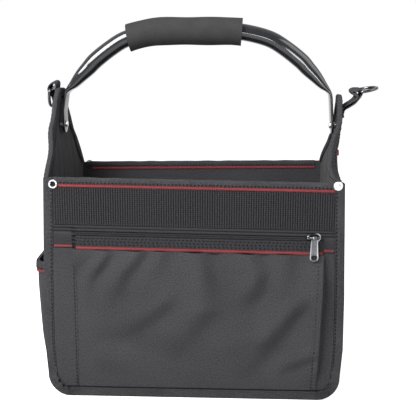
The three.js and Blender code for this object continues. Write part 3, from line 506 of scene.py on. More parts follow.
def swept(rings, closed=False):
    """A closed profile carried along a path: quads between the rings, and flat ends unless it closes."""
    count, around = rings.shape[:2]
    ids = np.arange(count * around).reshape(count, around)
    here = ids if closed else ids[:-1]
    ahead_ids = np.roll(ids, -1, axis=0) if closed else ids[1:]
    quads = np.stack([here, np.roll(here, -1, 1), np.roll(ahead_ids, -1, 1), ahead_ids], -1).reshape(-1, 4)
    ends = [] if closed else [ids[0, ::-1].tolist(), ids[-1].tolist()]
    flat = np.stack([run(rings, 0), run(rings, 1)], -1).reshape(-1, 2)
    return rings.reshape(-1, 3), quads.tolist() + ends, flat


def spaced(line, pitch):
    """Places along a line of points, a pitch apart, as shares of its rows."""
    length = run(line[None], 1)[0]
    return np.interp(np.arange(pitch / 2, length[-1], pitch), length, np.arange(len(line)))


def along(values, rows):
    """Values of a line's rows read between them."""
    return np.stack([np.interp(rows, np.arange(len(values)), column) for column in values.T], -1)


def stitches(name, lines, pitch=STITCH_PITCH, length=2.4, width=1.5, height=0.8):
    """Rows of stitches: each a short six-sided spindle along its line, sunk by its ends.
    A line is its points and the way the cloth faces, alike for all or for each."""
    middles, ways, ups = [], [], []
    for points, facings in lines:
        rows = spaced(points, pitch)
        middles.append(along(points, rows))
        ways.append(unit(along(np.gradient(points, axis=0), rows)))
        ups.append(unit(along(np.broadcast_to(facings, points.shape), rows)))
    middle, way, up = (np.concatenate(parts)[:, None, None] for parts in (middles, ways, ups))
    beside = np.cross(way, up)
    turn = np.arange(6)[None, None, :, None] * math.pi / 3
    reach = np.array([-0.5, -0.3, 0.3, 0.5])[None, :, None, None]
    girth = np.array([0.3, 1, 1, 0.3])[None, :, None, None] / 2
    sag = np.array([-0.3, 0, 0, -0.3])[None, :, None, None]
    points = middle + way * reach * length + beside * np.cos(turn) * girth * width
    points = points + up * (np.sin(turn) * girth + sag) * height
    _, faces, _ = swept(points[0])
    step = points[0, ..., 0].size
    every = [[i + k * step for i in face] for k in range(len(points)) for face in faces]
    corners = points.reshape(-1, 3)
    return piece(name, (corners, every, corners[:, :2]), thread)


def panel_edge():
    """The panels' edge from the left rim round the foot to the right rim, with its inward way."""
    turn = np.linspace(0, math.pi / 2, 24)
    arc = np.stack([FLOOR_END + CORNER * np.sin(turn), FLOOR_CURVE - CORNER * np.cos(turn)], -1)
    rise = np.linspace(FLOOR_CURVE, RIM, 90)[1:]
    floor_line = np.linspace(0, FLOOR_END, 60)[:-1]
    foot = np.stack([floor_line, np.full_like(floor_line, LIFT)], -1)
    side = np.stack([half_width(rise), rise], -1)
    right = np.concatenate([foot, arc, side])
    round_in = np.stack([-np.sin(turn), np.cos(turn)], -1)
    inward = np.concatenate([foot * 0 + (0, 1), round_in, side * 0 + (-1, 0)])
    mirror = np.array([-1, 1])
    return [np.concatenate([(half * mirror)[:0:-1], half]) for half in (right, inward)]


# The tape's section, from its edge on the face round the fold to its edge on the end, then back inside.
BIND_IN = np.array([9, 8.6, 7.2, 4, 1.5, -0.3, -1.0, -1.5, -1.5, -1.5, -1.5, -1.5, -0.3, -0.3, -0.3, 4, 9])
BIND_ON = np.array([-0.5, -1.3, -1.2, -1.5, -1.6, -1.5, -1.2, -0.4, 2, 6, 10.4, 11, 11, 5, -0.3, -0.3, -0.3])
BIND_SOFT = np.array([0, 0.3, 0.1, 1, 1, 0.8, 0.5, 0.4, 0.6, 0.5, 0, 0, 0, 0, 0, 0, 0])
BIND_EDGE = np.array([1, 1, 0.8, 0.3, 0, 0, 0, 0, 0, 0, 0, 0, 0, 0, 0, 0, 0])
edge_points, edge_inward = panel_edge()
edge_run = run(edge_points[None], 1)[0]
corner_near = ramp(edge_points[:, 1], *CORNER_UP) * ramp(abs(edge_points[:, 0]), *CORNER_ALONG)
pucker = PUCKER * np.sin(edge_run * 0.55 + 1.3 * np.sin(edge_run * 0.09)) ** 2
gather = GATHER * corner_near * (0.5 + 0.5 * np.sin(edge_run * 0.9))
jag = abs(2 * ((edge_run / CRUMPLE) % 1) - 1)
foot_lean = FOOT_LEAN * ramp(edge_inward[:, 1], 0.6, 1)
edge_lift = foot_lean + corner_near * (CRUMPLE_LIFT[0] + CRUMPLE_LIFT[1] * jag)
edge_shift = corner_near * (CRUMPLE_IN[0] + CRUMPLE_IN[1] * jag)
tape_on = (pucker + gather)[:, None] * BIND_SOFT - BIND_ON + edge_lift[:, None] * BIND_EDGE
tape_in = (BIND_IN + edge_shift[:, None] * BIND_EDGE)[..., None] * edge_inward[:, None, :]
tape_at = edge_points[:, None, :] + tape_in
row = edge_points + edge_inward * STITCH_IN
binding_lines = []
for end, way in ENDS:
    rings = settled(grid(tape_at[..., 0], way * (FACE + tape_on), tape_at[..., 1]))
    dressed(f"binding_{end}", "tape", swept(rings), tape)
    line = settled(grid(row[:, 0], way * (FACE + STITCH_OUT), row[:, 1]))
    binding_lines.append((line, (0, way, 0)))
stitches("binding_stitches", binding_lines)

# The peaks' binding: the same tape folded over the free edge of each peak, a leg on each face.
# It starts at the rim's corner and is sewn through with one row of stitches.
PEAK_FOOT = RIM + GAP
PEAK_TURN_OVER = 18
PEAK_STITCH_IN = 8.6
PEAK_ROWS_ON = (1.75, -3.85)


def peak_edge(side):
    """A peak's edge from the front rim's corner over the top to the back one, with its inward way."""
    _, turn, round_foot, top_half = peak_form(side)
    rise = np.linspace(PEAK_FOOT, round_foot, 70)
    over = np.clip(1 - (rise - PEAK_FOOT) / PEAK_TURN_OVER, 0, 1)
    bend = np.linspace(turn, 0, 14)[1:]
    slope_line = np.stack([half_depth(side, rise), rise], -1)
    round_z = PEAK[side] - PEAK_ROUND * (1 - np.cos(bend))
    round_line = np.stack([top_half + PEAK_ROUND * np.sin(bend), round_z], -1)
    lean = np.concatenate([turn + (math.pi / 2 - turn) * over, bend])
    half = np.concatenate([slope_line, round_line])
    inward = -np.stack([np.sin(lean), np.cos(lean)], -1)
    flip = np.array([-1, 1])
    return np.concatenate([half * flip, half[::-1]]), np.concatenate([inward * flip, inward[::-1]])


# The section: inwards from the edge, and across the cloth from its outer face.
PEAK_IN = np.array([11, 10.6, 8.6, 4, 0.5, -1.2, -1.8, -1.8, -1.2, 0.5, 4, 8.6, 10.6, 11, 5, -0.6, -0.6, 5])
PEAK_ON = np.array(
    [0.7, 1.7, 1.6, 1.8, 1.8, 1.2, 0, -2, -3.2, -3.8, -3.8, -3.7, -3.7, -2.7, -2.6, -2.6, 0.6, 0.6]
)
PEAK_SOFT = np.array([0, 0.3, 0.1, 1, 1, 1, 0, 0, 0, 0, 0, 0, 0, 0, 0, 0, 0, 0])
peak_lines = []
for side, way in SIDES:
    edge, inward = peak_edge(side)
    pucker = PUCKER * np.sin(run(edge[None], 1)[0] * 0.5) ** 2
    at = edge[:, None, :] + inward[:, None, :] * PEAK_IN[:, None]
    out = end_face(side, at[..., 0], at[..., 1]) + PEAK_ON + pucker[:, None] * PEAK_SOFT
    rings = settled(grid(way * out, at[..., 0], at[..., 1]))
    dressed(f"peak_binding_{side}", "tape", swept(rings), tape)
    row = edge + inward * PEAK_STITCH_IN
    row_face = end_face(side, row[:, 0], row[:, 1])
    for row_on, out in zip(PEAK_ROWS_ON, (way, -way)):
        line = settled(grid(way * (row_face + row_on), row[:, 0], row[:, 1]))
        peak_lines.append((line, (out, 0, 0)))
stitches("peak_stitches", peak_lines)

# The rims: tape folded over the front and back edges, sewn along its foot.
# Narrow red braid with a toothed edge is sewn on under the tape, outside and inside.
BAND_HALF = 150.0
BAND_FOOT = 239.8
BAND_CROWN = 246.35
BAND_STITCH_Z = 241.3
BAND_STITCH_ON = 1.55
BRAID = 3.2
BRAID_START = -145.0
BRAID_FOOT = BAND_FOOT - GAP - BRAID
BRAID_SHOWN = 2.9
TOOTH = 2.1
BRAID_COLOURS = (paint(50, 20, 21), paint(116, 53, 55))
# The band's section: out from the panel's outer face, and height.
BAND_ROWS = [
    (0.5, 239.8), (1.4, 240), (1.5, 241.5), (1.6, 243.6), (1.5, 245.4), (0.9, 246.4), (0, 246.8),
    (-2, 246.8), (-2.9, 246.4), (-3.5, 245.4), (-3.6, 243.6), (-3.5, 241.5), (-3.4, 240), (-2.6, 239.8),
    (-2.3, 240), (-2.3, 246.3), (0.3, 246.3), (0.3, 240),
]
BAND_OUT, BAND_UP = np.array(BAND_ROWS).T
braid = woven(
    "red_braid", BRAID_COLOURS, thread=1.45, grain_scale=800, grain=0.7, threads=0.4, less=0.05,
    relief=0.2, rough=0, Roughness=0.8,
)


def braid_strip(middle, up, out, height=BRAID_SHOWN, tooth=1.3, thick=TAPE):
    """Braid along a line: across it a low crown with slanting strands, its edges drawn out into teeth.
    The line has six points a tooth. The ways up and out are alike for all of them or given for each."""
    length = run(middle[None], 1)[0][None, :]
    across = np.linspace(-1, 1, 7)[:, None]
    wave = 1 - abs(2 * ((length / TOOTH) % 1) - 1)
    half = height / 2 + np.where(across > 0, tooth, 0.6 * tooth) * (wave - 0.4)
    strands = 0.16 * np.cos(2 * math.pi * (length / TOOTH + 0.4 * across))
    crown = thick * (0.55 + 0.4 * (1 - across**2)) + strands
    shift = (across * half)[..., None] * np.array(up)
    return slab(middle + shift + crown[..., None] * np.array(out), middle + shift)


def braid_places(left, right):
    """Places along a straight braid, six for each tooth."""
    return np.linspace(left, right, max(16, int((right - left) / TOOTH * 6)))


braid_x = braid_places(BRAID_START, BAND_HALF)
rim_lines = []
for end, way in ENDS:
    across = np.linspace(-BAND_HALF, BAND_HALF, 151)[:, None]
    soft = 0.25 * np.sin(across * 0.21) * np.sin(across * 0.037 + way)
    rings = settled(grid(across, way * (FACE + BAND_OUT), BAND_UP + soft * (BAND_UP > BAND_CROWN)))
    dressed(f"rim_band_{end}", "tape", swept(rings), tape)
    for face_name, base, out in (("outer", FACE + GAP, way), ("inner", FACE - CLOTH - GAP, -way)):
        middle = settled(grid(braid_x, way * base, BRAID_FOOT + BRAID / 2))
        strip = braid_strip(middle, (0, 0, 1), (0, out, 0))
        dressed(f"red_trim_{end}_{face_name}", "braid", strip, braid)
    line_x = np.linspace(-BAND_HALF + 2, BAND_HALF - 2, 120)
    for base, out in ((FACE + BAND_STITCH_ON, way), (FACE - CLOTH - BAND_STITCH_ON, -way)):
        line = settled(grid(line_x, way * base, BAND_STITCH_Z))
        rim_lines.append((line, (0, out, 0)))
rim_stitches = stitches("rim_stitches", rim_lines, pitch=4.0)

# The tool webbing: a wide heavy webbing across the front, woven in close upright ribs.
# Its foot has a plain selvedge, and the ribs fade where its ends go under the binding.
WEBBING_FOOT = 195.5
WEBBING_TOP = 236.0
RIB = 2.6
RIB_DEPTH = 0.55
SELVEDGE = 2.6
RIBS_FROM = 198.6
WEB_COLOURS = (paint(9, 9, 10), paint(42, 42, 44))
WEB_PICK = 2.1


def ribbed_webbing(tree):
    """Painted highlight on the ribs' crowns and painted shade in the grooves, crossed by the picks of the
    weave.
    """
    place = tree.place()
    ribs = tree.math("ABSOLUTE", tree.math("SINE", place.axis("X") * (math.pi / (RIB * MM))))
    picks = tree.math("SINE", place.axis("Z") * (2 * math.pi / (WEB_PICK * MM))) * 0.5 + 0.5
    grain = place.noise(600)
    # The tone paints highlight on the rib crowns and shade in the grooves between them.
    tone = ribs * 0.55 + ribs * picks * 0.35 + grain * 0.9 - 0.55
    return {"Base Color": tone.blend(*WEB_COLOURS), "Normal": (ribs * picks + grain).bump(0.3)}


webbing = finish("ribbed_webbing", ribbed_webbing, Roughness=0.8, Specular_IOR_Level=DULL)
web_x = np.linspace(-BAND_HALF, BAND_HALF, 921)[None, :]
selvedge_z = np.linspace(WEBBING_FOOT, WEBBING_FOOT + SELVEDGE, 4)
web_z = np.concatenate([selvedge_z, np.linspace(RIBS_FROM, WEBBING_TOP, 12)])[:, None]
ribbed = ramp(web_z, WEBBING_FOOT + 1.6, WEBBING_FOOT + SELVEDGE + 0.8) * ramp(BAND_HALF - abs(web_x), 3, 9)
rib_wave = np.sqrt(abs(np.sin(math.pi * web_x / RIB)))
web_out = SHEET - RIB_DEPTH * (1 - rib_wave) * ribbed
web_face = settled(grid(web_x, -FACE - GAP - web_out, web_z))
web_back = settled(grid(web_x, -FACE - GAP + 0 * web_out, web_z))
tool_webbing = dressed("tool_webbing", "ribs", slab(web_face, web_back), webbing)

# The front pocket: a sheet of thin cloth, standing off the panel between a pleat at each end.
# It hangs from the zip's lower tape, wrinkles where it is pulled, and its foot goes under the binding.
POCKET_TOP = 168.9
POCKET_FOOT = 12.6
STAND_AT = {10: 0.2, 20: 2.2, 34: 3.6, 60: 5.4, 100: 7.6, 130: 8.2, 150: 7.2, 169: 4.4, 184: 2.6, 196: 0.2}
PLEAT_LEFT = (-129.4, -126.4)
PLEAT_RIGHT = (140.2, 137.2)
PLEAT_LEAN = 0.026
PLEAT_SWELL = 6.5
PLEAT_SWELL_REACH = 17
PLEAT_SEAM = 5.6
PLEAT_RISE = 28
PLEAT_CALM = (138, 164)
RISE_FULL_FROM = 140
# Each fold: points across and up that its steep flank runs through, half the flank's width, and its depth.
FOLDS = [
    ([(-82, 178), (-95, 156), (-106, 143), (-113, 130), (-115, 112), (-111, 88), (-106, 66)], 6.5, 3.0),
    ([(-42, 180), (-60, 157), (-72, 142), (-80, 124), (-98, 98)], 7.0, 2.7),
    ([(-14, 122), (-33, 105), (-48, 93), (-64, 83), (-84, 74), (-100, 68)], 9.5, 2.3),
    ([(4, 186), (16, 156), (20, 130), (30, 106), (36, 88)], 11.0, 4.6),
    ([(56, 192), (69, 164), (76, 146), (68, 126), (56, 110), (46, 88)], 9.5, 4.0),
    ([(132, 128), (110, 101), (93, 77), (76, 52), (58, 31), (44, 18)], 10.0, 3.8),
    ([(138, 58), (113, 43), (88, 31)], 6.5, 2.3),
    ([(20, 112), (-3, 74), (-34, 46)], 12.0, 2.4),
    ([(-118, 60), (-60, 52), (-10, 30)], 12.0, 1.6),
    ([(112, 180), (104, 150), (100, 118)], 10.0, 2.0),
    ([(-20, 182), (-30, 160), (-42, 138)], 8.0, 1.6),
    ([(92, 72), (62, 64), (30, 40)], 11.0, 2.2),
]


def face_half(z):
    """Half width of the front face between the binding's edges at a height."""
    below = np.clip(FLOOR_CURVE - z, 0, CORNER - FRONT_LEG)
    low = FLOOR_END + np.sqrt((CORNER - FRONT_LEG) ** 2 - below**2) - SOFT_GAP
    return np.where(z < FLOOR_CURVE, low, half_width(z) - FRONT_LEG - GAP)


def stand(x, z):
    """How far a sheet stands off the front panel: nothing beside the pleats, full between them."""
    left = np.clip((x - PLEAT_LEFT[0]) / (PLEAT_LEFT[1] - PLEAT_LEFT[0]), 0, 1)
    right = np.clip((x - PLEAT_RIGHT[0]) / (PLEAT_RIGHT[1] - PLEAT_RIGHT[0]), 0, 1)
    return left * right * reading(STAND_AT, z)


def smooth(rows, steps):
    """Rows with more between them, each column on a Catmull-Rom curve."""
    near = np.concatenate([rows[:1], rows, rows[-1:]])
    before, start, end_row, after = (near[k : k + len(rows) - 1, None, :] for k in range(4))
    t = (np.arange(steps) / steps)[None, :, None]
    bend = 2 * before - 5 * start + 4 * end_row - after + (3 * start - before - 3 * end_row + after) * t
    curve = start + t / 2 * (end_row - before + t * bend)
    return np.concatenate([curve.reshape(-1, rows.shape[1]), rows[-1:]])


def folds(x, z):
    """Depth of the folds: a ridge on each line's left and a valley on its right, fading at its ends."""
    depth = 0 * x * z
    for points, half, deep in FOLDS:
        line = smooth(np.array(points, float), 8)
        way = unit(np.gradient(line, axis=0))
        off_x, off_z = x[..., None] - line[:, 0], z[..., None] - line[:, 1]
        nearest = np.argmin(np.hypot(off_x, off_z), axis=-1)[..., None]
        share = nearest[..., 0] / (len(line) - 1)
        side = np.take_along_axis(off_z * way[:, 0] - off_x * way[:, 1], nearest, -1)[..., 0]
        side = side / (half * (0.75 + 0.6 * share))
        fade = ramp(share, 0, 0.2) * ramp(1 - share, 0, 0.45)
        depth = depth + deep * fade * side * np.exp(0.5 - side**2 / 2)
    return depth


def swollen(x, z):
    """The pocket's stand between its pleats, with its folds, and fuller along the right pleat below the pull.
    On the left it rises softly from its seam."""
    full = reading(STAND_AT, z)
    from_pleat = PLEAT_RIGHT[0] - PLEAT_LEAN * (POCKET_TOP - z) - x
    swell = PLEAT_SWELL * np.exp(-((from_pleat / PLEAT_SWELL_REACH) ** 2)) * (1 - 0.8 * ramp(z, *PLEAT_CALM))
    seam = 0.9 * np.exp(-(((from_pleat - PLEAT_SEAM) / 1.4) ** 2))
    from_seam = ramp(x, PLEAT_LEFT[0] - 2, PLEAT_LEFT[0] + PLEAT_RISE)
    risen = np.maximum(from_seam, ramp(z, RISE_FULL_FROM, POCKET_TOP))
    return risen * (full + (swell - seam) * ramp(full, 2, 5) - folds(x, z) * ramp(full, 0, 4))


# A pleat's section: out past its fold line, and the share of the stand that is left.
TUCK_OUT = np.array([-5, -2.4, -0.8, 0, 0.2, 0, -0.8, -3, -4.6, -5, -4.6, -3, 0, 3])
TUCK_SHARE = np.array([1, 1, 0.98, 0.9, 0.8, 0.7, 0.62, 0.58, 0.5, 0.42, 0.34, 0.25, 0.1, 0])
pocket_z = np.concatenate([np.linspace(POCKET_FOOT, 30, 14), np.linspace(30, POCKET_TOP, 60)[1:]])[:, None]
pleat_left = PLEAT_LEFT[0] + 0 * pocket_z
pleat_right = PLEAT_RIGHT[0] - PLEAT_LEAN * (POCKET_TOP - pocket_z)
full = reading(STAND_AT, pocket_z)
tuck = np.clip(full / 6, 0.05, 1)
right_tuck = pleat_right + np.where(TUCK_OUT < -0.9, TUCK_OUT * tuck, TUCK_OUT)
left_tuck = pleat_left - np.where(TUCK_OUT < -0.9, 0.35 * TUCK_OUT * tuck, TUCK_OUT)[:, ::-1]
middle_share = np.linspace(0, 1, 121)[None, 1:-1]
middle_x = left_tuck[:, -1:] + (right_tuck[:, :1] - left_tuck[:, -1:]) * middle_share
strip_share = np.linspace(0, 1, 7)[None, :-1]
left_strip = -face_half(pocket_z) + (left_tuck[:, :1] + face_half(pocket_z)) * strip_share
right_strip = face_half(pocket_z) + (right_tuck[:, -1:] - face_half(pocket_z)) * strip_share
pocket_x = np.concatenate([left_strip, left_tuck, middle_x, right_tuck, right_strip[:, ::-1]], 1)
beside_share, full_share, tuck_share = 0 * strip_share, 0 * middle_share + 1, TUCK_SHARE[None]
pocket_share = np.concatenate([beside_share, tuck_share[:, ::-1], full_share, tuck_share, beside_share], 1)
proud = np.clip(swollen(pocket_x, pocket_z), 0, None) * pocket_share
pocket_face = settled(grid(pocket_x, -FACE - GAP - SHEET - proud, pocket_z))
in_pleat = np.clip(4 * pocket_share * (1 - pocket_share), 0, 1)
pocket_thick = (SHEET - 0.8 * in_pleat)[..., None]
pocket_shape = layer(pocket_face, pocket_thick)
pocket_cloth = dressed("pocket_front", "cloth", pocket_shape, cloth)
stitch_z = np.linspace(14, 168, 80)
left_row = grid(PLEAT_LEFT[0] - 0.8, -FACE - GAP - SHEET, stitch_z)
right_row_x = PLEAT_RIGHT[0] - PLEAT_LEAN * (POCKET_TOP - stitch_z) - PLEAT_SEAM
right_row_out = np.clip(swollen(right_row_x, stitch_z), 0, None)
right_row = grid(right_row_x, -FACE - GAP - SHEET - right_row_out, stitch_z)
pocket_rows = [(settled(row), (0, -1, 0)) for row in (left_row, right_row)]
pocket_stitches = stitches("pocket_stitches", pocket_rows)

# The zip: two woven tapes, the upper one folded in two soft ridges, and a closed coil between them.
# The lower tape carries three rows of stitches, and the pocket's red braid is sewn along its foot.
ZIP_UPPER = (188.4, 195.2)
ZIP_COIL = (184.4, 188.1)
ZIP_LOWER = (172.7, 184.1)
POCKET_BRAID = (169.2, 172.4)
COIL_LEFT = -129.5
COIL_RIGHT = 121.4
COIL_PITCH = 1.3
ZIP_TAPE = 1.0
ZIP_COLOURS = (paint(17, 17, 18), paint(40, 40, 42))
COIL_COLOURS = (paint(12, 12, 13), paint(36, 36, 37))
# The pocket's braid is cut at the pleats: each length's ends across, and how much higher it lies.
BRAID_LENGTHS = [(-151.2, -131.4, 1.2), (-126.6, 139.4, 0.0), (140.6, 151.2, 2.6)]
ZIP_ROWS_Z = (181.6, 178.2, 175.0)
ZIP_STAGGER = 1.3
TACK_ROWS_X = (-131.2, -129.6, -127.8)
TACK_ROWS_Z = (168, 195)
zip_cloth = woven(
    "zip_weave", ZIP_COLOURS, thread=1.0, grain_scale=600, grain=1.2, threads=0.4, less=0.3, relief=0.14,
    rough=0, Roughness=0.8,
)
zip_coil = speckled("zip_nylon", COIL_COLOURS, 600, Roughness=0.5, Specular_IOR_Level=DULL)


def face_strip(foot, top, left, right, columns, rows, relief):
    """A strip across the front face, on the stand: its relief goes by share of height and place across."""
    share = np.linspace(0, 1, rows)[:, None]
    height = foot + (top - foot) * share
    across = left(height) + (right(height) - left(height)) * np.linspace(0, 1, columns)[None, :]
    lifted = stand(across, height) + GAP
    outer = settled(grid(across, -FACE - lifted - relief(share, across), height))
    return slab(outer, settled(grid(across, -FACE - lifted, height)))


def joined(*shapes):
    """Several closed shapes as one mesh."""
    starts = np.cumsum([0] + [len(corners) for corners, _, _ in shapes])
    faces = [[i + start for i in face] for start, shape in zip(starts.tolist(), shapes) for face in shape[1]]
    return np.concatenate([s[0] for s in shapes]), faces, np.concatenate([s[2] for s in shapes])


def two_ridges(share, across):
    return ZIP_TAPE * (0.1 + 1.5 * np.sqrt(abs(np.sin(2 * math.pi * share)))) + 0 * across


def coil_teeth(share, across):
    """A row of coil turns on each side of a groove, each turn a low round rib."""
    side = np.where(share > 0.5, 0.5, 0)
    turns = abs(np.sin(math.pi * (across / COIL_PITCH + side)))
    section = np.sqrt(np.clip(1 - (2 * abs(share - 0.5) - 0.5) ** 2 * 3.4, 0, 1))
    return 0.6 + section * (0.8 + 0.5 * turns)


def lower_roll(share, across):
    rolled = ramp(share, 0.96, 0.8) + 0.35 * np.exp(-(((share - 0.86) / 0.06) ** 2))
    return ZIP_TAPE * (0.35 + 0.65 * rolled) + 0.12 * np.sin(across * 0.35) * np.sin(share * math.pi)


def to_left(z):
    return -face_half(z)


upper_strip = face_strip(*ZIP_UPPER, to_left, face_half, 241, 17, two_ridges)
zip_upper = dressed("zip_tape_upper", "weave", upper_strip, zip_cloth)
coil_ends = (lambda z: COIL_LEFT + 0 * z, lambda z: COIL_RIGHT + 0 * z)
coil_strip = face_strip(*ZIP_COIL, *coil_ends, 1170, 13, coil_teeth)
zip_teeth = dressed("zip_coil", "teeth", coil_strip, zip_coil)
lower_strip = face_strip(*ZIP_LOWER, to_left, face_half, 241, 17, lower_roll)
zip_lower = dressed("zip_tape_lower", "weave", lower_strip, zip_cloth)

braid_parts = []
for left, right, rise in BRAID_LENGTHS:
    part_x = braid_places(left, right)
    part_z = sum(POCKET_BRAID) / 2
    line = settled(grid(part_x, -FACE - stand(part_x, part_z) - GAP, part_z + rise))
    braid_parts.append(braid_strip(line, (0, 0, 1), (0, -1, 0)))
pocket_braid = dressed("red_trim_pocket", "braid", joined(*braid_parts), braid)

zip_rows = []
for height in ZIP_ROWS_Z:
    row_x = np.linspace(-132, 139, 140) + ZIP_STAGGER * (height % ZIP_STAGGER)
    row_out = stand(row_x, height) + GAP + ZIP_TAPE + 0.4
    zip_rows.append(settled(grid(row_x, -FACE - row_out, height)))
tack_z = np.linspace(*TACK_ROWS_Z, 24)
for tack_x in TACK_ROWS_X:
    tack_out = stand(tack_x, tack_z) + GAP + TAPE + 0.5
    zip_rows.append(settled(grid(tack_x, -FACE - tack_out, tack_z)))
zip_lines = [(row, (0, -1, 0)) for row in zip_rows]
zip_stitches = stitches("zip_stitches", zip_lines, pitch=4.4, width=1.2, length=2.1)

# The zip's slider and pull: die-cast and plated in dark nickel.
# The slider is a tapered shell with a raised rim and a bridge, and the pull swings on the bridge by its eye.
SLIDER_X = 129.2
SLIDER_Z = 187.0
SLIDER_LONG = 14.6
SLIDER_TALL = 9.6
SLIDER_BACK = -99.416
BRIDGE_HALF = 5.2
BRIDGE_Y = -105.016
BRIDGE_RADIUS = 1.1
PULL_LONG = 25.4
PULL_FOOT_HALF = 4.5
PULL_TOP_HALF = 3.5
PULL_THICK = 1.3
EYE_RADIUS = 1.95
EYE_WALL = 0.45
EYE_HALF = 2.0
WINDOW = (3.4, 3.2)
WINDOW_TOP = 2.4
PULL_RIDGE = 1.5
# The nickel's colours run from painted shade in the recesses to painted highlight on the rims, with random
# tone between.
NICKEL_COLOURS = (paint(44, 45, 48), paint(150, 152, 155))


def dark_nickel(rim):
    """Dark nickel, painted highlight on its rims and painted shade in its recesses: rim gives that from a
    place on the metal.
    """

    def varying(tree):
        place = tree.place()
        wear = place.noise(420, 4)
        # A painted highlight on the rims and rails, and painted shade in the recesses.
        wear_and_painted_light = rim((place.axis("X") - SLIDER_X * MM) / MM, (place.axis("Z") - SLIDER_Z * MM) / MM)
        return {
            "Base Color": (wear_and_painted_light * 0.75 + wear * 0.4 - 0.1).blend(*NICKEL_COLOURS),
            "Roughness": wear * 0.25 + 0.2,
            "Normal": place.noise(900).bump(0.05),
        }

    return varying


def clamped(shade):
    return shade.node("Clamp", {}, {0: shade})


def slider_painted_light(x, z):
    """Painted highlight towards the slider's outline and painted shade in its middle: the sum of the squares
    of its shares of the half sizes.
    """
    across, up = x / (SLIDER_LONG / 2), z / (SLIDER_TALL / 2)
    return clamped((across * across + up * up - 0.5) * 3)


def pull_painted_light(x, z):
    """Painted highlight on the pull's rails and on the crowns of its ridges, painted shade between them."""
    rails = clamped((x.math("ABSOLUTE", x) - 2.6) * 2)
    ridges = x.math("COSINE", x * (2 * math.pi / PULL_RIDGE)) * 0.2 + 0.2
    return rails + ridges


def dished(outline, centre, shares, heights, back):
    """A flat cast shape: its outline drawn in towards a centre by shares, each with its own height out.
    The last ring falls to the back, which is closed flat."""
    rings = centre + (outline - centre) * np.array(shares)[:, None, None]
    out = np.broadcast_to(np.array(heights)[:, None], rings.shape[:2])
    return swept(grid(rings[..., 0], back - out, rings[..., 1]))


turn = circle(72)
slider_x = SLIDER_LONG / 2 * bowed(np.cos(turn), 0.8)
slider_half = np.interp(slider_x, [-7.3, -2.4, 2.2, 5.4, 7.3], [2.7, 2.8, 4.8, 4.3, 2.9])
slider_z = slider_half * bowed(np.sin(turn), 0.45)
slider_nickel = finish("slider_nickel", dark_nickel(slider_painted_light), Metallic=1.0)
slider_outline = np.stack([SLIDER_X + slider_x, SLIDER_Z + slider_z], -1)
slider_centre = np.array([SLIDER_X, SLIDER_Z])
SLIDER_SHARES = [1, 1, 0.97, 0.9, 0.82, 0.74, 0.66, 0.3, 0.02]
SLIDER_HEIGHTS = [0, 1.6, 2.3, 2.6, 2.5, 1.9, 1.7, 1.7, 1.7]
slider_shell = dished(slider_outline, slider_centre, SLIDER_SHARES, SLIDER_HEIGHTS, SLIDER_BACK)
bridge_turn = np.linspace(0, math.pi, 25)
bridge_x = SLIDER_X - (BRIDGE_HALF + 0.4) * bowed(np.cos(bridge_turn), 0.5)
bridge_foot = SLIDER_BACK - 1.2
bridge_y = bridge_foot + (BRIDGE_Y - bridge_foot) * np.sin(bridge_turn) ** 0.6
bridge_path = grid(bridge_x, bridge_y, SLIDER_Z)
bridge_way = unit(np.gradient(bridge_path, axis=0))
bridge_side = np.array([0.0, 0.0, 1.0])
bridge_out = np.cross(bridge_way, bridge_side)
wire = circle(16)[None, :, None]
bridge_rings = bridge_path[:, None] + BRIDGE_RADIUS * (
    np.cos(wire) * bridge_out[:, None] + 1.25 * np.sin(wire) * bridge_side
)
slider_shape = joined(slider_shell, swept(bridge_rings))
dressed("zip_slider", "cast", slider_shape, slider_nickel)

pull_foot = SLIDER_Z - PULL_LONG + PULL_FOOT_HALF
pull_top = SLIDER_Z - EYE_RADIUS
pull_turn = circle(120)
ray_x, ray_z = np.sin(pull_turn), -np.cos(pull_turn)
up_reach = (pull_top - pull_foot) / np.maximum(ray_z, 1e-6)
lean = (PULL_FOOT_HALF - PULL_TOP_HALF) / (pull_top - pull_foot)
side_reach = PULL_FOOT_HALF / (abs(ray_x) + lean * np.maximum(ray_z, 0))
reach = np.where(ray_z > 0, np.minimum(up_reach, side_reach), PULL_FOOT_HALF)
share = np.concatenate([[0, 0], np.linspace(0, 1, 26), [1, 1]])[:, None]
flat_out = np.concatenate([[-0.5, 0.2], np.full(26, 0.5), [0.2, -0.5]])[:, None]
hole = 1 / np.hypot(ray_x / WINDOW[0], ray_z / WINDOW[1])
hole = np.where(ray_z > 0, np.minimum(hole, WINDOW_TOP / np.maximum(ray_z, 1e-6)), hole)
pull_x = ray_x * (hole + (reach - hole) * share)
pull_z = ray_z * (hole + (reach - hole) * share)
rail = ramp(abs(pull_x), 0.62 * PULL_FOOT_HALF, 0.72 * PULL_FOOT_HALF)
ridges = 0.5 + 0.5 * np.cos(2 * math.pi * pull_x / PULL_RIDGE)
on_plate = ramp(pull_z, 3.2, 4.0)
top_relief = 0.6 * rail + 0.3 * ridges * (1 - rail) * on_plate + 0.25 * (1 - on_plate)
pull_y = PULL_THICK * flat_out + np.where(flat_out > 0.4, top_relief - 0.15, 0)
pull_rings = grid(SLIDER_X + pull_x, BRIDGE_Y - pull_y, pull_foot + pull_z)
pull_plate = swept(pull_rings, closed=True)
eye_turn = circle(28)[:, None]
eye_section = circle(12)[None, :]
eye_reach = EYE_RADIUS + EYE_WALL * np.cos(eye_section)
eye_rings = grid(
    SLIDER_X + EYE_HALF * bowed(np.sin(eye_section), 0.5),
    BRIDGE_Y + eye_reach * np.cos(eye_turn),
    SLIDER_Z + eye_reach * np.sin(eye_turn),
)
pull_shape = joined(pull_plate, swept(eye_rings, closed=True))
pull_nickel = finish("pull_nickel", dark_nickel(pull_painted_light), Metallic=1.0)
dressed("zip_pull", "cast", pull_shape, pull_nickel, body="pull")

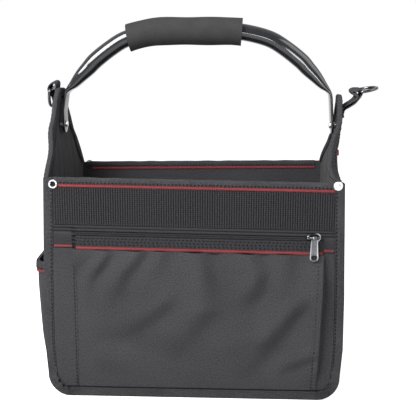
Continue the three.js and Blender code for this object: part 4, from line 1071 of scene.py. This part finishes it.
# The ends' trims: the same red braid straight across the outer face of each peak.
TRIM_MIDDLE = 272.0
TRIM_INSET = 15
for side, way in SIDES:
    reach = float(half_depth(side, TRIM_MIDDLE)) - TRIM_INSET
    trim_y = way * braid_places(-reach, reach)
    line = settled(grid(way * (end_face(side, trim_y, TRIM_MIDDLE) + SOFT_GAP), trim_y, TRIM_MIDDLE))
    strip = braid_strip(line, (0, 0, 1), (way, 0, 0))
    dressed(f"side_trim_{side}", "braid", strip, braid)

# The left end's pocket: a boxy, open sheet of pocket cloth sewn down at both sides and gathered at its foot.
# Its mouth is hemmed with tape, and red braid runs under the hem.
POCKET_HALF = 71
POCKET_FULLNESS = 20
POCKET_TILT = 0.1
BULGE_AT = {27: 0.2, 34: 7, 44: 10.6, 58: 11.6, 73: 12.7, 102: 14.5, 131: 16.1, 155: 16.4}
HEM = (146.3, 155.0)
HEM_BRAID = 144.4
HEM_OUT = [1.4, 1.7, 1.8, 1.9, 1.8, 1.7, 1.4]
HEM_BRAID_OUT = 0.6
HEM_STITCH_OUT = 1.75
GATHERS = 11
GATHERS_IN = (27, 36)
GATHERS_OUT = (90, 40)


def pocket_bulge(y, z, reach=POCKET_HALF):
    """How far the end pocket stands out: its middle by height, falling to the seams on a full curve.
    Small gathers start at the foot and fade upwards."""
    across = np.clip(1 - abs(y / reach) ** POCKET_FULLNESS, 0, 1)
    gathers = 0.7 * np.sin(GATHERS * math.pi * (y / reach + 1)) * ramp(z, *GATHERS_OUT) * ramp(z, *GATHERS_IN)
    return GAP + reading(BULGE_AT, z) * across + gathers * across


def round_corners(reach, count):
    """Places from back to front, closer together where the pocket turns its corners."""
    even = np.linspace(1, -1, count)
    return reach * np.sign(even) * (1 - (1 - abs(even)) ** 2)


pocket_y = round_corners(POCKET_HALF, 121)[None, :]
side_z = np.concatenate([np.linspace(27, 60, 22), np.linspace(60, HEM[1], 30)[1:]])[:, None]
side_at = side_z + POCKET_TILT * pocket_y
side_out = end_face("left", pocket_y, side_at) + pocket_bulge(pocket_y, side_z) + SHEET
side_face = grid(-side_out, pocket_y, side_at)
side_shape = layer(side_face, SHEET)
side_pocket = dressed("side_pocket_left", "cloth", side_shape, cloth)


def hem_line(height, count, out):
    """A line across the end pocket at a height, standing out from its cloth."""
    y = round_corners(POCKET_HALF + out, count)
    z = height + POCKET_TILT * y
    over = pocket_bulge(y, np.full_like(y, height), POCKET_HALF + out) + SHEET + out
    return grid(-end_face("left", y, z) - over, y, z)


def hem_facing(line):
    """The way each point of a line across the pocket faces: level, and square to the line."""
    return unit(np.cross(np.gradient(line, axis=0), (0, 0, 1)))


hem_rows = np.stack([hem_line(height, 121, out) for height, out in zip(np.linspace(*HEM, 7), HEM_OUT)])
hem_shape = layer(hem_rows, TAPE)
hem_tape = dressed("side_pocket_band_left", "tape", hem_shape, tape)
braid_line = hem_line(HEM_BRAID, 420, HEM_BRAID_OUT)
hem_strip = braid_strip(braid_line, (0, 0, 1), hem_facing(braid_line))
hem_braid = dressed("side_pocket_trim_left", "braid", hem_strip, braid)
stitch_line = hem_line(HEM[0] + 1.6, 200, HEM_STITCH_OUT)
hem_stitches = stitches("hem_stitches", [(stitch_line, hem_facing(stitch_line))])

# The rim's corner rivets: bright nickel-plated steel, set through the tapes and both panels.
# The left ones are eyelets with a rolled rim, and the right ones have domed caps.
RIVET_X = {"left": -150, "right": 153.4}
RIVET_Z = 241.5
STEEL_COLOURS = (paint(165, 166, 168), paint(230, 230, 231))
# Profiles from the inner edge to the seat: radius, and distance out from the head's seat.
EYELET = [(2.9, 0), (2.9, 1.2), (3.2, 1.9), (3.8, 2.3), (4.3, 2.2), (4.8, 1.5), (5, 0.5), (4.9, 0)]
DOMED_CAP = [(0.05, 2.4), (1.4, 2.3), (2.7, 2.0), (3.8, 1.5), (4.6, 0.8), (5, 0.2), (4.9, 0), (0.05, 0)]
steel = wear_and_painted_light("bright_steel", STEEL_COLOURS, (260, 4), (0.12, 0.3), (500, 0.006), Metallic=1.0)


def lathed(profile, sides=40):
    """A profile of radius and height turned round its axis: its two ways across, and its height."""
    radius, height = np.array(profile).T
    angle = circle(sides)[None, :]
    return radius[:, None] * np.cos(angle), radius[:, None] * np.sin(angle), height[:, None] + 0 * angle


for end, way in ENDS:
    for side, _ in SIDES:
        across, up, out = lathed(EYELET if side == "left" else DOMED_CAP)
        rings = grid(RIVET_X[side] + across, way * (FACE + LIFT + GAP + out), RIVET_Z + up)
        head = swept(np.swapaxes(rings, 0, 1), closed=True) if side == "left" else swept(rings)
        dressed(f"rivet_{end}_{side}", "steel", head, steel)

# The handle: a steel tube bent to an arch, its ends pressed flat into round tabs, and painted gloss black.
# Each tab hangs on a pivot through the peak.
TUBE = 19
# Half of the centre line, from the middle to the tab: place across, height, the tube's thickness and width.
HANDLE_ROWS = [
    (0, 407.4, TUBE, TUBE), (40, 407.2, TUBE, TUBE), (61, 404.7, TUBE, TUBE), (84, 398.2, TUBE, TUBE),
    (101, 388.3, TUBE, TUBE), (119, 374.6, TUBE, TUBE), (128, 365.4, 17.8, 19), (137, 356.2, 14.8, 19.2),
    (145, 347, 10.3, 19.5), (150.8, 341.2, 5.8, 19.8), (154.2, 336.6, 3.3, 20), (155.4, 331, 2.8, 20),
]
TAB_X = 157.6
TAB_LEAN = 0.07
TAB_THICK = 2.8
TAB_WIDE = 20
TAB_ROUND_TO = 1.5
PAINT_COLOURS = ((0.004, 0.0045, 0.0055, 1), (0.011, 0.011, 0.012, 1))
black_paint = wear_and_painted_light("gloss_paint", PAINT_COLOURS, (160, 5), (0.06, 0.02), (70, 0.015), IOR=1.4)


def tube_section(thick, width, sides=48):
    """A flattened tube: two half circles and the straight sides between them."""
    angle = 2 * math.pi * (np.arange(sides) + 0.5) / sides
    flat = (width - thick) / 2
    return thick / 2 * np.cos(angle), thick / 2 * np.sin(angle) + flat * np.sign(np.sin(angle))


half_arch = smooth(np.array(HANDLE_ROWS), 10)
arch = np.concatenate([(half_arch * (-1, 1, 1, 1))[:0:-1], half_arch])
arch_way = unit(np.gradient(arch[:, :2], axis=0))
section_in, section_wide = tube_section(arch[:, 2:3], arch[:, 3:4])
tube_rings = grid(
    arch[:, 0:1] - arch_way[:, 1:2] * section_in, section_wide, arch[:, 1:2] + arch_way[:, 0:1] * section_in
)
tab_in, tab_wide = tube_section(np.array([[TAB_THICK]]), TAB_WIDE)
tab_turn = np.linspace(0, TAB_ROUND_TO, 16)[:, None]
tab_drop = TAB_WIDE / 2 * np.sin(tab_turn)
tab_out = TAB_X + TAB_LEAN * tab_drop
tab_left = grid(-tab_out + tab_in, tab_wide * np.cos(tab_turn), PIVOT_Z - tab_drop)[::-1]
tab_right = grid(tab_out + tab_in, tab_wide * np.cos(tab_turn), PIVOT_Z - tab_drop)
handle_shape = swept(np.concatenate([tab_left, tube_rings, tab_right]))
dressed("handle_tube", "painted", handle_shape, black_paint, body="handle")

# The grip: a sleeve of dense black foam pushed over the tube, left of the middle, its ends cut round.
GRIP_LEFT = -80.6
GRIP_RIGHT = 51
GRIP_RADIUS = 15.75
GRIP_BORE = TUBE / 2 + SOFT_GAP
GRIP_ROUND = 2.5
GRIP_LEAN = 0.55
FOAM_COLOURS = (paint(22, 22, 22), paint(47, 47, 48))


def grip_foam(tree):
    place = tree.place()
    pores = place.noise(1100, 3)
    tone = pores * 0.7 + place.noise(60) * 0.35 - 0.05
    return {"Base Color": tone.blend(*FOAM_COLOURS), "Normal": pores.bump(0.4)}


foam = finish("grip_foam", grip_foam, Roughness=0.95, Specular_IOR_Level=DULL)
end_turn = np.linspace(0, math.pi / 2, 7)
end_reach = GRIP_ROUND * (1 - np.sin(end_turn))
end_radius = GRIP_RADIUS - GRIP_ROUND * (1 - np.cos(math.pi / 2 - end_turn))
span = np.linspace(GRIP_LEFT + 3, GRIP_RIGHT - 3, 60)
left_end, right_end = GRIP_LEFT + end_reach, GRIP_RIGHT - end_reach[::-1]
grip_x = np.concatenate([[GRIP_LEFT], left_end, span, right_end, [GRIP_RIGHT], span[::-1]])
grip_r = np.concatenate(
    [[GRIP_BORE], end_radius, np.full(60, GRIP_RADIUS), end_radius[::-1], [GRIP_BORE], np.full(60, GRIP_BORE)]
)
grip_z = np.interp(grip_x, arch[:, 0], arch[:, 1])
grip_slope = np.interp(grip_x + 1, arch[:, 0], arch[:, 1]) - np.interp(grip_x - 1, arch[:, 0], arch[:, 1])
grip_way = unit(np.stack([np.full_like(grip_slope, 2), GRIP_LEAN * grip_slope], -1))[:, None, :]
grip_turn = circle(56)[None, :]
soft_round = np.where(grip_r > GRIP_BORE + 1, 0.25 * np.sin(grip_x * 0.12), 0)[:, None]
lifted = (grip_r[:, None] + soft_round) * np.cos(grip_turn)
wide = (grip_r[:, None] + soft_round) * np.sin(grip_turn)
grip_across = grip_x[:, None] - grip_way[..., 1] * lifted
grip_rings = grid(grip_across, wide, grip_z[:, None] + grip_way[..., 0] * lifted)
grip = dressed("grip", "foam_sleeve", swept(grip_rings, closed=True), foam, body="handle")

# The handle's pivots: steel rivets with a domed head inside the tab and a flat head outside the peak.
# A spacer on each keeps the tab off the cloth.
PIVOT_HEAD = 3.9
PIVOT_DOME = 1.7
PIVOT_SHAFT = 3.0
PIVOT_SPACER = 4.0
PIVOT_WASHER = 8.0
for side, way in SIDES:
    tab_inside = TAB_X - TAB_THICK / 2 - SOFT_GAP
    tab_outside = TAB_X + TAB_THICK / 2 + SOFT_GAP
    around = np.linspace(0, 2 * math.pi, 9)
    faces_near = end_face(side, PIVOT_WASHER * np.sin(around), PIVOT_Z + PIVOT_WASHER * np.cos(around))
    peak_in = faces_near.min() - CLOTH - SOFT_GAP
    peak_out = max(faces_near.max(), float(end_face(side, 0, PIVOT_Z))) + SOFT_GAP
    dome_turn = np.linspace(math.pi / 2, 0, 9)
    dome = [(PIVOT_HEAD * math.cos(a) + 0.03, tab_inside - PIVOT_DOME * math.sin(a)) for a in dome_turn]
    stem = [(PIVOT_SHAFT, tab_inside), (PIVOT_SHAFT, tab_outside), (PIVOT_SPACER, tab_outside)]
    spacer = [(PIVOT_SPACER, peak_in), (PIVOT_SHAFT, peak_in), (PIVOT_SHAFT, peak_out)]
    outer_head = [
        (PIVOT_WASHER - 0.2, peak_out),
        (PIVOT_WASHER, peak_out + 0.3),
        (PIVOT_WASHER - 0.5, peak_out + 0.9),
        (PIVOT_WASHER - 1.4, peak_out + 1.2),
        (0.05, peak_out + 1.2),
    ]
    deep, up, out = lathed(dome + stem + spacer + outer_head, 48)
    dressed(f"handle_rivet_{side}", "steel", swept(grid(way * out, deep, PIVOT_Z + up)), steel)

# The ring loops: a strip of narrow webbing on each peak, folded round the ring's bar.
# Both of its ends are sewn to the peak's outer face with two rows of stitches.
STRAP_HALF = 11.5
STRAP_SEAM = 317
STRAP_TURN = 16
STRAP_ROWS_Z = (310.5, 315)
STRAP_ROWS_OUT = 0.85
STRAP_COLOURS = (paint(24, 24, 25), paint(66, 66, 68))
# Each loop's centre line, from the outer seam round the bar to the inner one: out from the middle, and up.
STRAP_LINES = {
    "left": [
        (168.7, 309), (168.1, 317), (168.6, 324), (169.4, 331), (171.6, 336.4), (174.1, 339.8), (174.4, 343),
        (172.6, 346.6), (169.4, 349), (166.4, 348.8), (165.2, 346.2), (165.5, 342.6), (166, 336),
        (166.4, 327), (166.3, 317), (166.9, 309),
    ],
    "right": [
        (169.4, 309), (169.4, 314.5), (171.2, 318.6), (176.5, 322), (182.2, 326.2), (186.6, 331.6),
        (189.5, 336.2), (190.2, 339.8), (188.7, 342.3), (186, 342.5), (182.4, 342.4), (179, 341),
        (178.4, 338.4), (181, 336.2), (183.8, 334.6), (183.4, 331.8), (179.4, 328.2), (171.2, 323),
        (167.7, 317), (167.6, 309),
    ],
}
# Where the webbing is turned in double: out from the middle, height, its reach both ways and its depth.
STRAP_FOLD = {"left": [], "right": [(182.6, 339.2, 2.8, 5.5, 4.2)]}
# Each ring's bar: out from the middle, height, the ring's angle up from the outward way, and the bar's tilt.
RING_BAR = {"left": (171.5, 342, -84, 8), "right": (187.4, 339.7, 11, 5)}
strap_webbing = woven(
    "narrow_webbing", STRAP_COLOURS, thread=1.3, grain_scale=700, grain=1.1, threads=0.6, less=0.5,
    relief=0.25, Roughness=0.8,
)
strap_lines = []
for side, way in SIDES:
    line = smooth(np.array(STRAP_LINES[side]), 6)
    slant = math.tan(math.radians(RING_BAR[side][3])) * ramp(line[:, 1:], STRAP_SEAM, STRAP_SEAM + STRAP_TURN)
    heading = unit(np.gradient(line, axis=0))
    off = np.stack([-heading[:, 1], heading[:, 0]], -1)
    share = np.linspace(-1, 1, 21)[None, :]
    rib = 0.16 * np.cos(share * 21) * (abs(share) < 0.86) - 0.35 * ramp(abs(share), 0.88, 1)
    doubled = bowls(STRAP_FOLD[side], line[:, 0], line[:, 1])[:, None]
    outer = line[:, None, :] + off[:, None, :] * (SHEET / 2 + rib + doubled)[..., None]
    under = line[:, None, :] - off[:, None, :] * (SHEET / 2 + rib)[..., None]
    deep = STRAP_HALF * share
    faces = [grid(way * part[..., 0], deep, part[..., 1] + slant * deep) for part in (outer, under)]
    dressed(f"ring_strap_{side}", "webbing", slab(*faces), strap_webbing)
    for height in STRAP_ROWS_Z:
        row_y = np.linspace(-STRAP_HALF + 1.5, STRAP_HALF - 1.5, 20)
        row = grid(way * (STRAP_LINES[side][1][0] + STRAP_ROWS_OUT), row_y, height)
        strap_lines.append((row, (way, 0, 0)))
stitches("strap_stitches", strap_lines, pitch=3.4)

# The D-rings: darkened steel wire bent to a straight bar and a bow, each hanging in its loop.
RING_WIRE = 1.75
RING_HALF = 15.25
RING_LEG = 6.0
RING_CORNER = 3.2
RING_COLOURS = (paint(36, 36, 38), paint(92, 92, 94))
ring_finish = wear_and_painted_light("ring_steel", RING_COLOURS, (260, 4), (0.15, 0.12), Metallic=1.0)


def ring_bend(start, stop, count, reach, width, radius):
    """An arc of the ring's wire in its own plane: reach from the bar, width along it, and outward turn."""
    turn = np.linspace(start, stop, count)
    return np.stack([reach + radius * np.sin(turn), width + radius * np.cos(turn), turn], -1)


ring_path = np.concatenate(
    [
        [[0, 0, -math.pi / 2]],
        ring_bend(-math.pi / 2, 0, 10, RING_CORNER, RING_HALF - RING_CORNER, RING_CORNER),
        ring_bend(0, math.pi, 40, RING_LEG, 0, RING_HALF),
        ring_bend(math.pi, 1.5 * math.pi, 10, RING_CORNER, RING_CORNER - RING_HALF, RING_CORNER),
    ]
)
for side, way in SIDES:
    bar_x, bar_z, bar_angle, bar_tilt = RING_BAR[side]
    swing, tilt = math.radians(bar_angle), math.radians(bar_tilt)
    ring_wide = np.array([0, math.cos(tilt), math.sin(tilt)])
    level_out, rise = way * math.cos(swing), math.sin(swing)
    ring_out = np.array([level_out, -rise * math.sin(tilt), rise * math.cos(tilt)])
    ring_flat = np.cross(ring_out, ring_wide)
    middle = np.array([way * bar_x, 0, bar_z]) + ring_path[:, :1] * ring_out + ring_path[:, 1:2] * ring_wide
    normal = np.sin(ring_path[:, 2:]) * ring_out + np.cos(ring_path[:, 2:]) * ring_wide
    around = circle(20)[None, :, None]
    rings = middle[:, None] + RING_WIRE * (np.cos(around) * normal[:, None] + np.sin(around) * ring_flat)
    dressed(f"d_ring_{side}", "wire", swept(rings, closed=True), ring_finish, body=f"ring_{side}")
